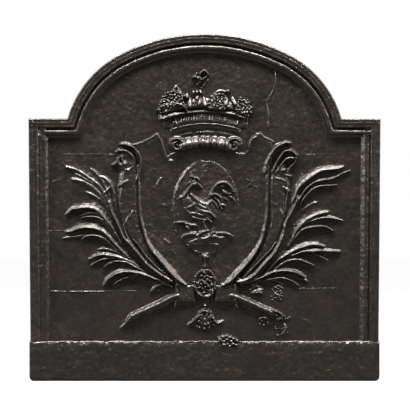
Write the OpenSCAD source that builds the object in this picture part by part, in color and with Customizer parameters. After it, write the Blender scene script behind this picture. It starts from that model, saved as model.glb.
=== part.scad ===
// Fireback: an upright iron plate with an arched head, cast in one piece from a carved pattern.
// Each module is one board, moulding or carving of that pattern, seated on the front of the plate.
// X runs across the plate, Z runs up, the front faces -Y, and the origin is the middle of the foot.
// Relief is drawn flat, X across and Y up, and rises along +Z; on_front() stands it up on the plate.

/* [Plate] */
// Height from the foot to the crown of the arch
total_h = 693; // [686:1:705]
// Rise of the arch above the two shoulders
arch_h = 169; // [163:1:175]
// Width across the shoulders
shoulder_w = 703; // [701:1:720]
// How far each side leans in between its shoulder and the base band
side_lean = 4; // [1:0.5:6]
// Thickness of the plain ground
plate_t = 20; // [16:1:26]
// Radius of the arch at its crown
crown_r = 367; // [355:1:380]
// Radius of the arch at its haunches
haunch_r = 208; // [200:1:214]
// Angle from the centreline at which the two radii meet
haunch_angle = 27.6; // [26:0.1:29]
// Radius of the shoulders' outer corners
corner_r = 4; // [1:0.5:8]

/* [Base band] */
// How far the base band stands out beyond each side
band_overhang = 2; // [1:0.5:6]
// Height of the base band
band_h = 77; // [60:1:85]
// How far the base band stands off the ground
band_rise = 12; // [8:0.5:16]
// Width and depth of the slope along the band's top edge
band_bevel = 7; // [3:0.5:7.5]
// Radius of the band's lower corners
band_corner_r = 9; // [3:0.5:14]

/* [Border moulding] */
// Width of the border moulding
mould_w = 38; // [36:0.5:42]
// Width of its outer flat
flat_w = 17; // [14:0.5:19]
// How far the outer flat stands off the ground
flat_rise = 12; // [9:0.5:15]
// Radius of the rounded arris at its outer edge
arris_r = 3.5; // [2:0.5:5]
// Radius of the bead beside the field
bead_r = 6.5; // [5:0.25:7.5]
// How far the bead's middle stands off the ground
bead_lift = 3; // [1:0.25:5]
// Width of the step between the bead and the field
step_w = 4.5; // [2:0.25:6]
// Thickness of that step and of the quirk beside the bead
step_rise = 3; // [1.5:0.25:4.5]

/* [Arms] */
// Share of the field's spare height that lies below the arms
low_share = 0.362; // [0.2:0.002:0.6]
// Share of the room over the crown's leaves that lies below the cross
cross_share = 0.226; // [0.1:0.002:0.8]
// Gap left between neighbouring carvings
seam = 0.3; // [0.2:0.05:0.6]
// Thickness of the shield's field
shield_t = 4; // [3:0.25:6]
// Height of the curled lip down each side of the shield, off its field
lip_rise = 7; // [5:0.25:10]
// Half width of that lip
lip_half_w = 11; // [8:0.5:13]
// Half width of the hem round each horn at the shield's head
hem_half_w = 2.5; // [1.5:0.25:3.5]
// Height of that hem off the shield's field
hem_rise = 3; // [1.5:0.25:4.5]
// Height of the strap that runs down beside the shield
strap_rise = 9; // [6:0.25:12]
// Half width of that strap at its widest
strap_half_w = 17; // [13:0.5:18]
// Radius of the rolled ear at the head of each strap
ear_r = 21; // [18:0.5:23]
// Height of that ear
ear_rise = 15; // [11:0.5:18]

/* [Oval] */
// Half width of the oval frame
oval_a = 66; // [60:1:72]
// Half height of the oval frame
oval_b = 95; // [88:1:97]
// Half width of the frame's rounded fillet
oval_half_w = 3; // [2:0.25:4]
// How far the frame stands off the shield
oval_rise = 3; // [2:0.25:5]
// Height of the rooster's body off the shield
rooster_rise = 7; // [4:0.5:9]
// Height of the mound off the shield
mound_rise = 4.5; // [3:0.5:7]

/* [Crown] */
// Height above the binding of the centre that the crown's curves share
crown_lift = 136; // [134:1:139]
// Radius of the gadrooned roll's middle line
roll_radius = 174; // [172:0.5:176]
// Half thickness of the gadrooned roll
roll_r = 9; // [7:0.5:10]
// Half angle that the gadrooned roll spans
roll_angle = 14; // [13:0.25:15]
// Number of lobes on the gadrooned roll
lobe_count = 7; // [5:2:9]
// Radius of the volute at each end of the roll
volute_r = 14; // [12:0.5:15.5]
// Height of those volutes
volute_rise = 12; // [9:0.5:15]
// Gap between the roll and the row of small beads
bead_row_gap = 9; // [7:0.5:11]
// Radius of one small bead
small_bead_r = 2.6; // [1.8:0.1:3]
// Half angle that the beads and bands above the roll span
band_angle = 19; // [17:0.5:20]
// Width of the crown's plain band
crown_band_w = 9; // [7:0.5:11]
// How far the plain band stands off the ground
crown_band_rise = 4; // [2.5:0.5:6]
// Width of the pleated cap
cap_w = 20; // [16:0.5:22]
// How far the pleats stand off the ground
cap_rise = 6; // [4:0.5:8]
// Number of pleats in the cap
pleat_count = 23; // [17:2:27]
// Width of the rounded rim above the cap
rim_w = 9; // [7:0.5:11]
// How far the rim stands off the ground
rim_rise = 9; // [6:0.5:11]
// Height of the crown's leaves above the rim
leaf_h = 34; // [28:1:38]
// How far the leaves stand off the ground
leaf_rise = 9; // [6:0.5:12]
// Radius of the lowest pearl between two leaves
pearl_r = 5.5; // [3.5:0.25:6]
// Half span of the cross over the crown
cross_r = 14; // [11:0.5:17]
// How far the cross stands off the ground
cross_rise = 7; // [5:0.5:9]

/* [Palms and binding] */
// Height of the widest palm leaves
palm_rise = 9; // [6:0.5:12]
// Half width of the palm's stem where it leaves the binding
stem_half_w = 6; // [4.5:0.5:7]
// Half width of a cut stalk beside the binding
stalk_half_w = 10; // [8:0.5:12]
// Height of a cut stalk
stalk_rise = 10; // [7:0.5:12]
// Length of the binding on each side of the medal
bind_l = 30; // [26:1:33]
// Half width of the binding
bind_half_w = 17; // [13:0.5:18]
// How far the binding stands off the ground
bind_rise = 12; // [9:0.5:15]
// Half width of the oval medal
medal_a = 24; // [21:0.5:26]
// Half height of the oval medal
medal_b = 32; // [28:0.5:34]
// How far the medal's face stands off the ground
medal_rise = 9; // [7:0.5:12]
// Radius of one bead round the medal
medal_bead_r = 2.6; // [1.8:0.1:3]
// Radius of the knob over the medal
knob_r = 8; // [6:0.25:9]
// Half width of the knob's neck at its foot
neck_half_w = 5; // [3.5:0.25:6]
// Radius of the bead under the medal
drop_r = 5; // [4:0.25:6.5]
// Length of the three-leaved pendant's petals
petal_l = 24; // [19:0.5:28]
// How far those petals stand off the ground
petal_rise = 6; // [4:0.5:8]

/* [Hidden] */
$fn = 48;
iron = "#3b3531";

// The rooster's wing rises this many times its body's height
WING_LIFT = 1.35;
// The foot's rounded corners are in facets of this many degrees, so that nothing beside the sole
// lies nearly level with it
FOOT_FACET = 30;
// The proudest carving settles where the plate lies, so that the origin is in the middle of the depth
medal_top = medal_rise + medal_bead_r;
on_shield = shield_t + max(lip_rise, hem_rise, oval_rise, mound_rise, WING_LIFT * rooster_rise);
on_ground = max(ear_rise, strap_rise, palm_rise, stalk_rise, bind_rise, volute_rise, roll_r, leaf_rise,
    rim_rise, cap_rise, cross_rise, pearl_r, knob_r);
proudest = max(medal_top, on_shield, on_ground, band_rise, flat_rise, bead_lift + bead_r);
front_y = (proudest - plate_t) / 2;

shoulder_h = total_h - arch_h;
waist_w = shoulder_w - 2 * side_lean;
band_w = waist_w + 2 * band_overhang;

// Centres and corners of the plate's outline, right side
crown_c = [0, total_h - crown_r];
haunch_c = crown_c + (crown_r - haunch_r) * [sin(haunch_angle), cos(haunch_angle)];
function on_haunch(r, y) = [haunch_c.x + sqrt(r * r - pow(y - haunch_c.y, 2)), y];
spring = on_haunch(haunch_r, shoulder_h);
spring_inner = on_haunch(haunch_r - mould_w, shoulder_h - mould_w);
shoulder = [shoulder_w / 2, shoulder_h];
waist = [waist_w / 2, band_h];
side_dir = unit(shoulder - waist);
side_in = left_of(side_dir);
shoulder_inner = shoulder + mould_w * (side_in - side_dir * (1 + side_in.y) / side_dir.y);

// The crown's curves, as radii about their shared centre
crown_o = [2, crown_lift];
volute_angle = roll_angle + asin((volute_r + seam) / roll_radius);
bead_row_radius = roll_radius + roll_r + bead_row_gap + small_bead_r;
band_inner = bead_row_radius + small_bead_r + 5 * seam;
cap_inner = band_inner + crown_band_w + seam;
rim_inner = cap_inner + cap_w + seam;
leaf_inner = rim_inner + rim_w + seam;

// The arms are set out from the binding. They hang between the band and the arch from the left
// stalk's tail to the crown's leaves, and what height is spare there is shared out round them.
STALK_TAIL = [-168, -62, 0.3, 0.4];
arms_low = STALK_TAIL[2] * stalk_half_w - STALK_TAIL.y;
leaf_top = crown_lift + leaf_inner + leaf_h;
spare_h = total_h - mould_w - band_h - arms_low - leaf_top - 2 * cross_r;
arms_z = band_h + arms_low + low_share * spare_h;
cross_lift = leaf_inner + leaf_h + cross_share * (1 - low_share) * spare_h + cross_r;

// Cross-sections of the carvings, one unit half wide and one unit high
ROUND = [[-1, 0], [-0.8, 0.6], [0, 1], [0.8, 0.6], [1, 0]];
KEEL = [[-1, 0], [-0.7, 0.4], [0, 1], [0.7, 0.4], [1, 0]];
ROLLED = [[-1, 0], [-0.95, 0.7], [-0.6, 1], [0, 0.55], [0.6, 0.9], [0.95, 0.6], [1, 0]];
LIP = [[-1, 0], [0.1, 0.55], [0.65, 1], [0.95, 0.8], [1, 0]];

function unit(v) = v / norm(v);
function left_of(v) = [-v.y, v.x];
function flip(pts) = [for (p = pts) concat([-p.x], [for (k = [1:len(p) - 1]) p[k]])];
function arc(r, a, b, n = 24) = [for (i = [0:n]) let (t = a + (b - a) * i / n) r * [sin(t), cos(t)]];
function ellipse(a, b, n = 56) = [for (i = [0:n - 1]) let (t = 360 * i / n) [a * cos(t), b * sin(t)]];

// A smooth line through chosen points; whatever else a point holds is eased along with it
function ease(a, b, c, d, t) = b + 0.5 * t * (c - a + t * (2 * a - 5 * b + 4 * c - d
    + t * (3 * (b - c) + d - a)));
function smooth(p, n = 4) = [for (i = [0:len(p) - 2]) for (j = [0:n - 1])
    ease(p[max(i - 1, 0)], p[i], p[i + 1], p[min(i + 2, len(p) - 1)], j / n), p[len(p) - 1]];

// A carving along a line: each station is [x, y, half width, rise], and its back is flat
module carve(s, section = ROUND, closed = false) {
    n = len(s);
    m = len(section);
    last = closed ? n - 1 : n - 2;
    function xy(i) = [s[i].x, s[i].y];
    function ahead(i) = closed ? xy((i + 1) % n) - xy((i + n - 1) % n)
        : xy(min(i + 1, n - 1)) - xy(max(i - 1, 0));
    points = [for (i = [0:n - 1]) for (q = section)
        let (p = xy(i) + left_of(unit(ahead(i))) * q[0] * s[i][2]) [p.x, p.y, q[1] * s[i][3]]];
    sides = [for (i = [0:last]) for (j = [0:m - 1])
        let (a = i * m, b = ((i + 1) % n) * m, k = (j + 1) % m)
        each [[a + j, b + k, b + j], [a + j, a + k, b + k]]];
    ends = closed ? [] : [[for (j = [m - 1:-1:0]) j], [for (j = [0:m - 1]) (n - 1) * m + j]];
    polyhedron(points, concat(sides, ends));
}

// One leaf from root to tip along a bow; bend is the point that the bow is drawn towards
function bow(a, c, b, t) = (1 - t) * (1 - t) * a + 2 * t * (1 - t) * c + t * t * b;
module leaf(root, bend, tip, half_w, rise, n = 6) {
    carve([for (i = [0:n]) let (t = i / n, p = bow(root, bend, tip, t))
        [p.x, p.y, half_w * max((0.4 + 1.2 * t) * (1 - pow(t, 3)), 0.06), rise * (1 - 0.75 * t * t)]], KEEL);
}

// A rolled scroll end: a ridge that winds inwards and rises towards its eye; wind is 1 or -1
module volute(r, rise, wind, start = 90, turns = 1.4, n = 30) {
    pitch = 0.78 * r / turns;
    carve([for (i = [0:n]) let (t = i / n, a = start + wind * 360 * turns * t, w = 0.44 * pitch)
        let (q = r - w - 0.78 * r * t) [q * cos(a), q * sin(a), w, rise * (0.6 + 0.4 * t)]]);
}

// A half ball on the ground
module dome(r) {
    rotate_extrude() intersection() {
        circle(r);
        square(r);
    }
}

module on_front(lift = 0) {
    translate([0, front_y - lift, 0]) rotate([90, 0, 0]) children();
}
module on_arms(lift = 0) {
    on_front(lift) translate([0, arms_z, 0]) children();
}
module round_crown(angle = 0, r = 0) {
    translate(crown_o) rotate(-angle) translate([0, r]) children();
}
module mirrored() {
    children();
    mirror([1, 0, 0]) children();
}

// ---- plate ----
// Half outlines, from the middle of the foot up the right side; step is in degrees
function turn(centre, r, from, to, step) = [for (i = [0:1:ceil((to - from) / step)])
    let (a = min(from + i * step, to)) centre + r * [cos(a), sin(a)]];
function band_edge() = concat(
    turn([band_w / 2 - band_corner_r, band_corner_r], band_corner_r, -90, 0, FOOT_FACET),
    [[band_w / 2, band_h]]);
function shoulder_edge() = concat([waist], turn(shoulder - corner_r * [1, 1], corner_r, 0, 90, 15));
function arch_edge() = concat(
    turn(haunch_c, haunch_r, asin((shoulder_h - haunch_c.y) / haunch_r), 90 - haunch_angle, 2),
    turn(crown_c, crown_r, 90 - haunch_angle + 1, 90, 1));
module both_sides(edge) {
    polygon(concat(edge, [for (i = [len(edge) - 1:-1:0]) [-edge[i].x, edge[i].y]]));
}
module plate() {
    color(iron) on_front(-plate_t) linear_extrude(plate_t)
        both_sides(concat(shoulder_edge(), arch_edge()));
}

// The band is the casting's thick foot, through its whole depth; its top edge is sloped in front
module base_band() {
    color(iron) on_front() difference() {
        translate([0, 0, -plate_t]) linear_extrude(plate_t + band_rise) both_sides(band_edge());
        translate([-band_w, band_h, band_rise - band_bevel]) rotate([0, 90, 0])
            linear_extrude(2 * band_w) polygon([[0, 0], [-band_rise, band_rise], [-band_rise, -band_rise]]);
    }
}

// ---- border moulding ----
// Section from the outer edge inwards: a flat with a rounded arris, a quirk, a bead and a low step
module mould_section() {
    translate([arris_r, flat_rise - arris_r]) circle(arris_r);
    square([flat_w, flat_rise - arris_r]);
    translate([arris_r, 0]) square([flat_w - arris_r, flat_rise]);
    square([mould_w, step_rise]);
    intersection() {
        translate([mould_w - step_w - bead_r, bead_lift]) circle(bead_r);
        square([mould_w, 2 * flat_rise]);
    }
}
// A straight run from one point to another, with the field on its left
module mould_run(from, to) {
    along = unit(to - from);
    translate(from - mould_w * along) rotate(atan2(along.x, -along.y)) rotate([90, 0, 0])
        linear_extrude(norm(to - from) + 2 * mould_w) mould_section();
}
module mould_arc(centre, r, a, b) {
    translate(centre) rotate(a) rotate_extrude(angle = b - a, $fn = 180) translate([r, 0])
        mirror([1, 0]) mould_section();
}
// What lies to the right of the mitre between arch and shoulder
module right_of_mitre() {
    past = 2 * mould_w * unit(spring - spring_inner);
    linear_extrude(2 * flat_rise) polygon([spring + past, [shoulder_w, spring.y + past.y],
        [shoulder_w, spring_inner.y - past.y], spring_inner - past]);
}
// What lies below the mitre at the shoulder's outer corner
module below_mitre() {
    past = mould_w * unit(shoulder - shoulder_inner);
    linear_extrude(2 * flat_rise) polygon([shoulder + past, shoulder_inner - past,
        [shoulder_inner.x - mould_w, band_h], [shoulder_w, band_h]]);
}
module side_moulding() {
    on_front() intersection() {
        mould_run(waist, shoulder);
        below_mitre();
        linear_extrude(2 * flat_rise) both_sides(shoulder_edge());
    }
}
module shoulder_moulding() {
    on_front() difference() {
        intersection() {
            mould_run(shoulder, spring);
            right_of_mitre();
            linear_extrude(2 * flat_rise) both_sides(shoulder_edge());
        }
        below_mitre();
    }
}
module haunch_moulding() {
    on_front() difference() {
        mould_arc(haunch_c, haunch_r, 0, 90 - haunch_angle);
        right_of_mitre();
    }
}
module crown_moulding() {
    color(iron) on_front() mould_arc(crown_c, crown_r, 90 - haunch_angle, 90 + haunch_angle);
}
module right_haunch_moulding() { color(iron) haunch_moulding(); }
module left_haunch_moulding() { color(iron) mirror([1, 0, 0]) haunch_moulding(); }
module right_side_moulding() { color(iron) side_moulding(); }
module left_side_moulding() { color(iron) mirror([1, 0, 0]) side_moulding(); }
module right_shoulder_moulding() { color(iron) shoulder_moulding(); }
module left_shoulder_moulding() { color(iron) mirror([1, 0, 0]) shoulder_moulding(); }

// ---- shield and its straps ----
// The shield's edge down its right side, from under the ear to the binding
SHIELD_SIDE = [[135, 264], [130, 240], [130, 191], [129, 161], [125, 133], [117, 103], [104, 81],
    [84, 57], [64, 33], [57, 20]];
SHIELD_TOP_LEFT = [[-78, 277], [-84, 301], [-95, 323], [-109, 314], [-129, 305], [-143, 299]];
SHIELD_TOP_RIGHT = [[137, 306], [119, 317], [111, 327], [103, 318], [91, 305], [86, 286]];
LEFT_EAR = [-153, 277];
RIGHT_EAR = [165, 277];
OVAL = [3, 176];
KNOB = [1, 78];
MEDAL = [1, 25];

module medal_outline(grow = 0) {
    translate(MEDAL) polygon(ellipse(medal_a + grow, medal_b + grow));
}
module shield_outline() {
    side = smooth(SHIELD_SIDE, 5);
    top = [for (p = arc(roll_radius - roll_r - seam, 24, -24)) p + crown_o];
    difference() {
        polygon(concat([for (i = [len(side) - 1:-1:0]) side[i]], SHIELD_TOP_RIGHT, top, SHIELD_TOP_LEFT,
            flip(side)));
        medal_outline(seam);
        translate(KNOB) circle(knob_r + seam);
        translate([KNOB.x - neck_half_w - seam, MEDAL.y])
            square([2 * (neck_half_w + seam), KNOB.y - MEDAL.y]);
        for (s = [-1, 1]) round_crown(s * volute_angle, roll_radius) circle(volute_r + seam);
        for (ear = [LEFT_EAR, RIGHT_EAR]) translate(ear) {
            circle(ear_r + seam);
            translate([-sign(ear.x) * 0.66 * ear_r, -14]) circle(0.6 * strap_half_w + seam);
        }
    }
}
// The lip lies inside the shield's edge and is highest there; it dies away at both ends
function shield_lip(side) = [for (i = [4:len(side) - 5])
    let (p = side[i] - left_of(unit(side[i + 1] - side[i - 1])) * (lip_half_w + seam),
        end = min(1, (i - 3) / 5, (len(side) - 4 - i) / 5))
    [p.x, p.y, lip_half_w, lip_rise * end]];
// A thin hem along each horn at the shield's head
function shield_hem(edge) = [for (i = [0:len(edge) - 1])
    let (along = edge[min(i + 1, len(edge) - 1)] - edge[max(i - 1, 0)],
        p = edge[i] + 1.5 * hem_half_w * left_of(unit(along))) [p.x, p.y, hem_half_w, hem_rise]];
module shield() {
    color(iron) {
        on_arms() linear_extrude(shield_t) shield_outline();
        on_arms(shield_t) {
            mirrored() carve(shield_lip(smooth(SHIELD_SIDE, 5)), LIP);
            carve(shield_hem(SHIELD_TOP_LEFT));
            carve(shield_hem(SHIELD_TOP_RIGHT));
        }
    }
}

// The strap beside the shield, as shares of its widest half width and of its rise, below its ear
STRAP = [[149, 232, 0.72, 1], [151, 205, 0.9, 1], [152, 175, 1, 1],
    [148, 150, 0.95, 1], [139, 123, 0.72, 1], [127, 101, 0.5, 0.9], [112, 81, 0.36, 0.8],
    [96, 63, 0.3, 0.7], [83, 50, 0.22, 0.5]];
module strap(ear) {
    head = [[ear.x - 0.74 * ear_r, ear.y, 0.26, 1], [ear.x - 0.66 * ear_r, ear.y - 14, 0.4, 1]];
    carve([for (s = smooth(concat(head, STRAP), 3))
        [s.x, s.y, s[2] * strap_half_w, s[3] * strap_rise]], ROLLED);
}
module left_scroll() {
    color(iron) on_arms() {
        translate(LEFT_EAR) volute(ear_r, ear_rise, 1, 0);
        mirror([1, 0, 0]) strap([-LEFT_EAR.x, LEFT_EAR.y]);
    }
}
module right_scroll() {
    color(iron) on_arms() {
        translate(RIGHT_EAR) volute(ear_r, ear_rise, -1, 180);
        strap(RIGHT_EAR);
    }
}

// ---- oval frame, rooster and mound, on the shield ----
module oval_frame() {
    ring = ellipse(oval_a - oval_half_w, oval_b - oval_half_w);
    color(iron) on_arms(shield_t) difference() {
        translate(OVAL) carve([for (p = ring) [p.x, p.y, oval_half_w, oval_rise]], closed = true);
        translate([KNOB.x, KNOB.y, -oval_rise]) cylinder(3 * oval_rise, r = knob_r + seam);
    }
}
// The rooster and its mound are drawn inside an oval 60 by 89, and follow the frame's size
oval_fit = min((oval_a - 2 * oval_half_w) / 60, (oval_b - 2 * oval_half_w) / 89);
module rooster() {
    h = rooster_rise;
    tail = [[[12, -4], [6, 42], [34, 46], 5], [[16, -2], [24, 60], [56, 26], 5],
        [[14, 0], [34, 38], [46, 14], 4.5], [[18, -8], [34, 18], [40, 2], 4]];
    color(iron) on_arms(shield_t) translate(OVAL) scale([oval_fit, oval_fit, 1]) {
        carve(smooth([[-44, 8, 5, 0.5 * h], [-32, 4, 14, h], [-10, -6, 18, h], [10, -4, 14, 0.9 * h],
            [24, 6, 6, 0.5 * h]]));
        carve(smooth([[-34, 4, 13, 0.9 * h], [-34, 24, 9, h], [-29, 38, 7, h], [-25, 50, 6, 0.9 * h],
            [-24, 55, 2, 0.4 * h]]));
        for (f = tail) leaf(f[0], f[1], f[2], f[3], h);
        for (i = [0:2]) leaf([-28 + 5 * i, 4 - 6 * i], [-8, -10 - 5 * i], [14, 2 - 7 * i], 5, WING_LIFT * h);
        for (i = [0:2])
            leaf([-29 + 4 * i, 53], [-30 + 5 * i, 60], [-34 + 9 * i, 65 - 2 * i], 2.5, 0.8 * h);
        leaf([-28, 49], [-34, 49], [-41, 45], 3, 0.7 * h);
        carve([[-8, -18, 4.5, 0.8 * h], [-7, -30, 2.5, 0.5 * h], [-9, -41, 2.5, 0.4 * h]]);
        carve([[-20, -16, 4.5, 0.8 * h], [-30, -28, 2.5, 0.5 * h], [-42, -29, 2, 0.4 * h],
            [-50, -33, 1, 0.3 * h]]);
    }
}
module mound() {
    rows = [[[-41, -55], [-14, -42], [18, -50], 4.5], [[43, -50], [28, -42], [8, -56], 4.5],
        [[-32, -65], [0, -58], [25, -67], 4], [[30, -62], [20, -60], [-8, -73], 3.5]];
    color(iron) on_arms(shield_t) translate(OVAL) scale([oval_fit, oval_fit, 1]) for (r = rows)
        leaf(r[0], r[1], r[2], r[3], mound_rise);
}

// ---- crown ----
module gadroon_roll() {
    pitch = 2 * roll_angle / lobe_count;
    half = roll_radius * sin(pitch / 2);
    color(iron) on_arms() for (i = [0:lobe_count - 1])
        round_crown((i + 0.5) * pitch - roll_angle, roll_radius)
            carve([for (t = [-80:32:80]) [0, -roll_r * sin(t), (half - seam / 2) * (0.8 + 0.2 * cos(t)),
                roll_r * cos(t)]]);
}
module left_volute() {
    color(iron) on_arms() round_crown(-volute_angle, roll_radius) volute(volute_r, volute_rise, 1, 0);
}
module right_volute() {
    color(iron) on_arms() round_crown(volute_angle, roll_radius) volute(volute_r, volute_rise, -1, 180);
}
module crown_beads() {
    count = floor(2 * band_angle * PI / 180 * bead_row_radius / (2 * small_bead_r + seam));
    color(iron) on_arms() for (i = [0:count - 1])
        round_crown((i - (count - 1) / 2) * 2 * band_angle / count, bead_row_radius)
            dome(small_bead_r, $fn = 24);
}
// A band bent about the crown's centre, with the section that is given
module bent(r, a) {
    translate(crown_o) rotate(90 - a) rotate_extrude(angle = 2 * a, $fn = 180) translate([r, 0]) children();
}
module crown_band() {
    color(iron) on_arms() bent(band_inner, band_angle)
        polygon([[0, 0], [crown_band_w, 0], [crown_band_w - 1, crown_band_rise], [1, crown_band_rise]]);
}
module crown_cap() {
    pitch = 2 * band_angle / pleat_count;
    inner_half = (cap_inner * PI * pitch / 180 - seam) / 2;
    color(iron) on_arms() for (i = [0:pleat_count - 1])
        round_crown((i + 0.5) * pitch - band_angle)
            carve([[0, cap_inner, inner_half, 0.7 * cap_rise],
                [0, cap_inner + cap_w / 2, inner_half, cap_rise],
                [0, cap_inner + cap_w, inner_half, 0.8 * cap_rise]]);
}
module crown_rim() {
    color(iron) on_arms() bent(rim_inner, band_angle + 1) intersection() {
        translate([rim_w / 2, 0]) circle(rim_rise);
        square([rim_w, rim_rise]);
    }
}
// Where each leaf stands on the rim, in degrees from upright, and its share of the full width
CROWN_LEAVES = [[-16, 1], [4.5, 0.75], [18.5, 0.6]];
module crown_leaves() {
    lobe = [[0, 0, 0.30], [-0.42, 0.1, 0.24], [0.42, 0.1, 0.24], [-0.75, 0.45, 0.2], [0.75, 0.45, 0.2]];
    color(iron) on_arms() for (l = CROWN_LEAVES) round_crown(l[0], leaf_inner)
        for (q = lobe) leaf([q.x * 0.3 * leaf_h * l[1], 0.1 * leaf_h], [q.x * leaf_h * l[1], 0.4 * leaf_h],
            [1.05 * q.x * leaf_h * l[1], leaf_h * (1 - q.y)], q[2] * leaf_h * l[1], leaf_rise);
}
// Pearls stand in heaps of three between the leaves
PEARL_HEAPS = [-4.5, 11.8];
module crown_pearls() {
    apart = pearl_r + seam / 2;
    color(iron) on_arms() for (a = PEARL_HEAPS) round_crown(a, leaf_inner + pearl_r) {
        for (s = [-1, 1]) translate([s * apart, 0]) dome(pearl_r);
        translate([0, sqrt(3) * apart]) dome(pearl_r);
    }
}
module crown_cross() {
    color(iron) on_arms() round_crown(-1.5, cross_lift) for (a = [0:90:270])
        rotate(a) leaf([0, 0], [0, cross_r / 2], [0, cross_r], 0.42 * cross_r, cross_rise, 4);
}

// ---- palms ----
// Each leaf: its root on the stem, the point that its bow is drawn towards, its tip and its share of width
LEFT_STEM = [[-68, 21, 0.8, 1], [-86, 36, 0.9, 1], [-107, 54, 0.9, 1], [-129, 79, 0.8, 0.9],
    [-149, 103, 0.7, 0.8], [-169, 133, 0.6, 0.7], [-183, 165, 0.4, 0.5]];
LEFT_LEAVES = [[[-181, 158], [-177, 228], [-211, 239], 0.8], [[-183, 165], [-205, 233], [-227, 252], 0.8],
    [[-184, 168], [-206, 236], [-275, 257], 1], [[-181, 160], [-210, 214], [-257, 236], 0.8],
    [[-178, 148], [-200, 196], [-237, 203], 0.7], [[-172, 135], [-230, 197], [-273, 165], 1.2],
    [[-166, 125], [-215, 170], [-245, 154], 0.8], [[-158, 112], [-218, 157], [-275, 125], 1.2],
    [[-150, 102], [-206, 133], [-249, 112], 0.8], [[-138, 88], [-183, 98], [-213, 91], 0.8],
    [[-122, 70], [-182, 93], [-229, 70], 1], [[-112, 60], [-169, 79], [-203, 57], 0.8],
    [[-95, 46], [-162, 64], [-201, 21], 0.9], [[-72, 33], [-92, 30], [-107, 8], 0.7]];
RIGHT_STEM = [[68, 21, 0.8, 1], [84, 34, 0.9, 1], [103, 49, 0.9, 1], [125, 70, 0.8, 0.9],
    [145, 98, 0.7, 0.8], [161, 130, 0.6, 0.7], [178, 168, 0.4, 0.5]];
RIGHT_LEAVES = [[[178, 168], [196, 254], [275, 257], 1], [[177, 163], [214, 237], [289, 249], 1],
    [[175, 158], [207, 224], [263, 220], 0.8], [[170, 147], [200, 182], [231, 189], 0.7],
    [[163, 132], [196, 160], [247, 166], 1], [[158, 122], [216, 160], [275, 149], 1],
    [[152, 112], [206, 145], [255, 130], 0.9], [[138, 90], [171, 112], [237, 99], 1],
    [[130, 78], [207, 98], [271, 87], 1], [[122, 70], [190, 86], [247, 69], 0.8],
    [[110, 58], [176, 83], [217, 58], 0.9], [[92, 43], [153, 66], [204, 26], 0.9],
    [[84, 38], [150, 50], [186, 19], 0.7], [[72, 30], [104, 38], [150, 21], 0.7]];
LEAF_HALF_W = 7;
module palm(stem, leaves) {
    carve([for (s = smooth(stem, 3)) [s.x, s.y, s[2] * stem_half_w, s[3] * palm_rise]]);
    for (l = leaves) leaf(l[0], l[1], l[2], LEAF_HALF_W * l[3], palm_rise * min(1, l[3]));
}
module left_palm() { color(iron) on_arms() palm(LEFT_STEM, LEFT_LEAVES); }
module right_palm() { color(iron) on_arms() palm(RIGHT_STEM, RIGHT_LEAVES); }

// ---- stalks, binding, medal and pendant ----
// A stalk's first stretch is straight, square to the binding that it enters
module stalk(foot, points) {
    carve([for (s = concat([foot], smooth(points))) [s.x, s.y, s[2] * stalk_half_w, s[3] * stalk_rise]]);
}
bind_inner = medal_a + 2;
bind_outer = bind_inner + bind_l;
module left_stalk() {
    color(iron) on_arms() stalk([-bind_outer - 2 * seam, -3, 1, 1], [[-bind_outer - 5, -3, 1, 1],
        [-105, -17, 0.7, 0.9], [-132, -32, 0.75, 0.9], [-150, -44, 0.9, 0.8], STALK_TAIL]);
}
module right_stalk() {
    color(iron) on_arms() stalk([bind_outer + 2 * seam, -4, 1, 1], [[bind_outer + 5, -4, 1, 1],
        [105, -22, 0.65, 0.9], [130, -32, 0.6, 0.9], [154, -41, 0.6, 0.8]]);
}
// A smooth collar on each side of the medal, with a turned-out lip where the stalks enter it
module binding() {
    lip = bind_l / 8;
    on_arms() translate([bind_inner, 3]) carve([[0, 0, 0.86 * bind_half_w, 0.9 * bind_rise],
        [bind_l - 2 * lip, 0, 0.9 * bind_half_w, 0.9 * bind_rise], [bind_l - lip, 0, bind_half_w, bind_rise],
        [bind_l, 0, bind_half_w, 0.95 * bind_rise]]);
}
module left_binding() { color(iron) mirror([1, 0, 0]) binding(); }
module right_binding() { color(iron) binding(); }
module medal() {
    ring = [medal_a - medal_bead_r, medal_b - medal_bead_r];
    count = floor(PI * (ring.x + ring.y) / (2 * medal_bead_r + 2 * seam));
    color(iron) {
        on_arms() linear_extrude(medal_rise) medal_outline();
        on_arms(medal_rise) translate(MEDAL) {
            for (i = [0:count - 1]) translate([ring.x * cos(360 * i / count), ring.y * sin(360 * i / count)])
                dome(0.9 * medal_bead_r, $fn = 24);
            for (a = [0:60:300]) rotate(a) leaf([0, 2], [0, 8], [0, 14], 4, 2.5, 4);
        }
    }
}
module knob() {
    color(iron) on_arms() {
        translate(KNOB) dome(knob_r);
        neck = KNOB.y - knob_r / 2 - MEDAL.y - medal_b - seam;
        translate([KNOB.x, MEDAL.y + medal_b + seam]) carve([[0, 0, neck_half_w, 0.8 * knob_r],
            [0, neck / 2, 0.6 * neck_half_w, 0.6 * knob_r], [0, neck, 0.8 * neck_half_w, 0.8 * knob_r]]);
    }
}
module pendant() {
    drop = MEDAL - [0, medal_b + seam + drop_r];
    heart = drop - [0, drop_r + seam + petal_l];
    color(iron) on_arms() {
        translate(drop) dome(drop_r);
        for (a = [0, 115, -115]) translate(heart) rotate(a)
            leaf([0, 0], [0, petal_l / 2], [0, petal_l], petal_l / 4, petal_rise);
    }
}

plate();
base_band();
left_side_moulding();
right_side_moulding();
left_shoulder_moulding();
right_shoulder_moulding();
left_haunch_moulding();
crown_moulding();
right_haunch_moulding();
shield();
left_scroll();
right_scroll();
oval_frame();
rooster();
mound();
gadroon_roll();
left_volute();
right_volute();
crown_beads();
crown_band();
crown_cap();
crown_rim();
crown_leaves();
crown_pearls();
crown_cross();
left_palm();
right_palm();
left_stalk();
right_stalk();
left_binding();
right_binding();
medal();
knob();
pendant();
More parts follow.
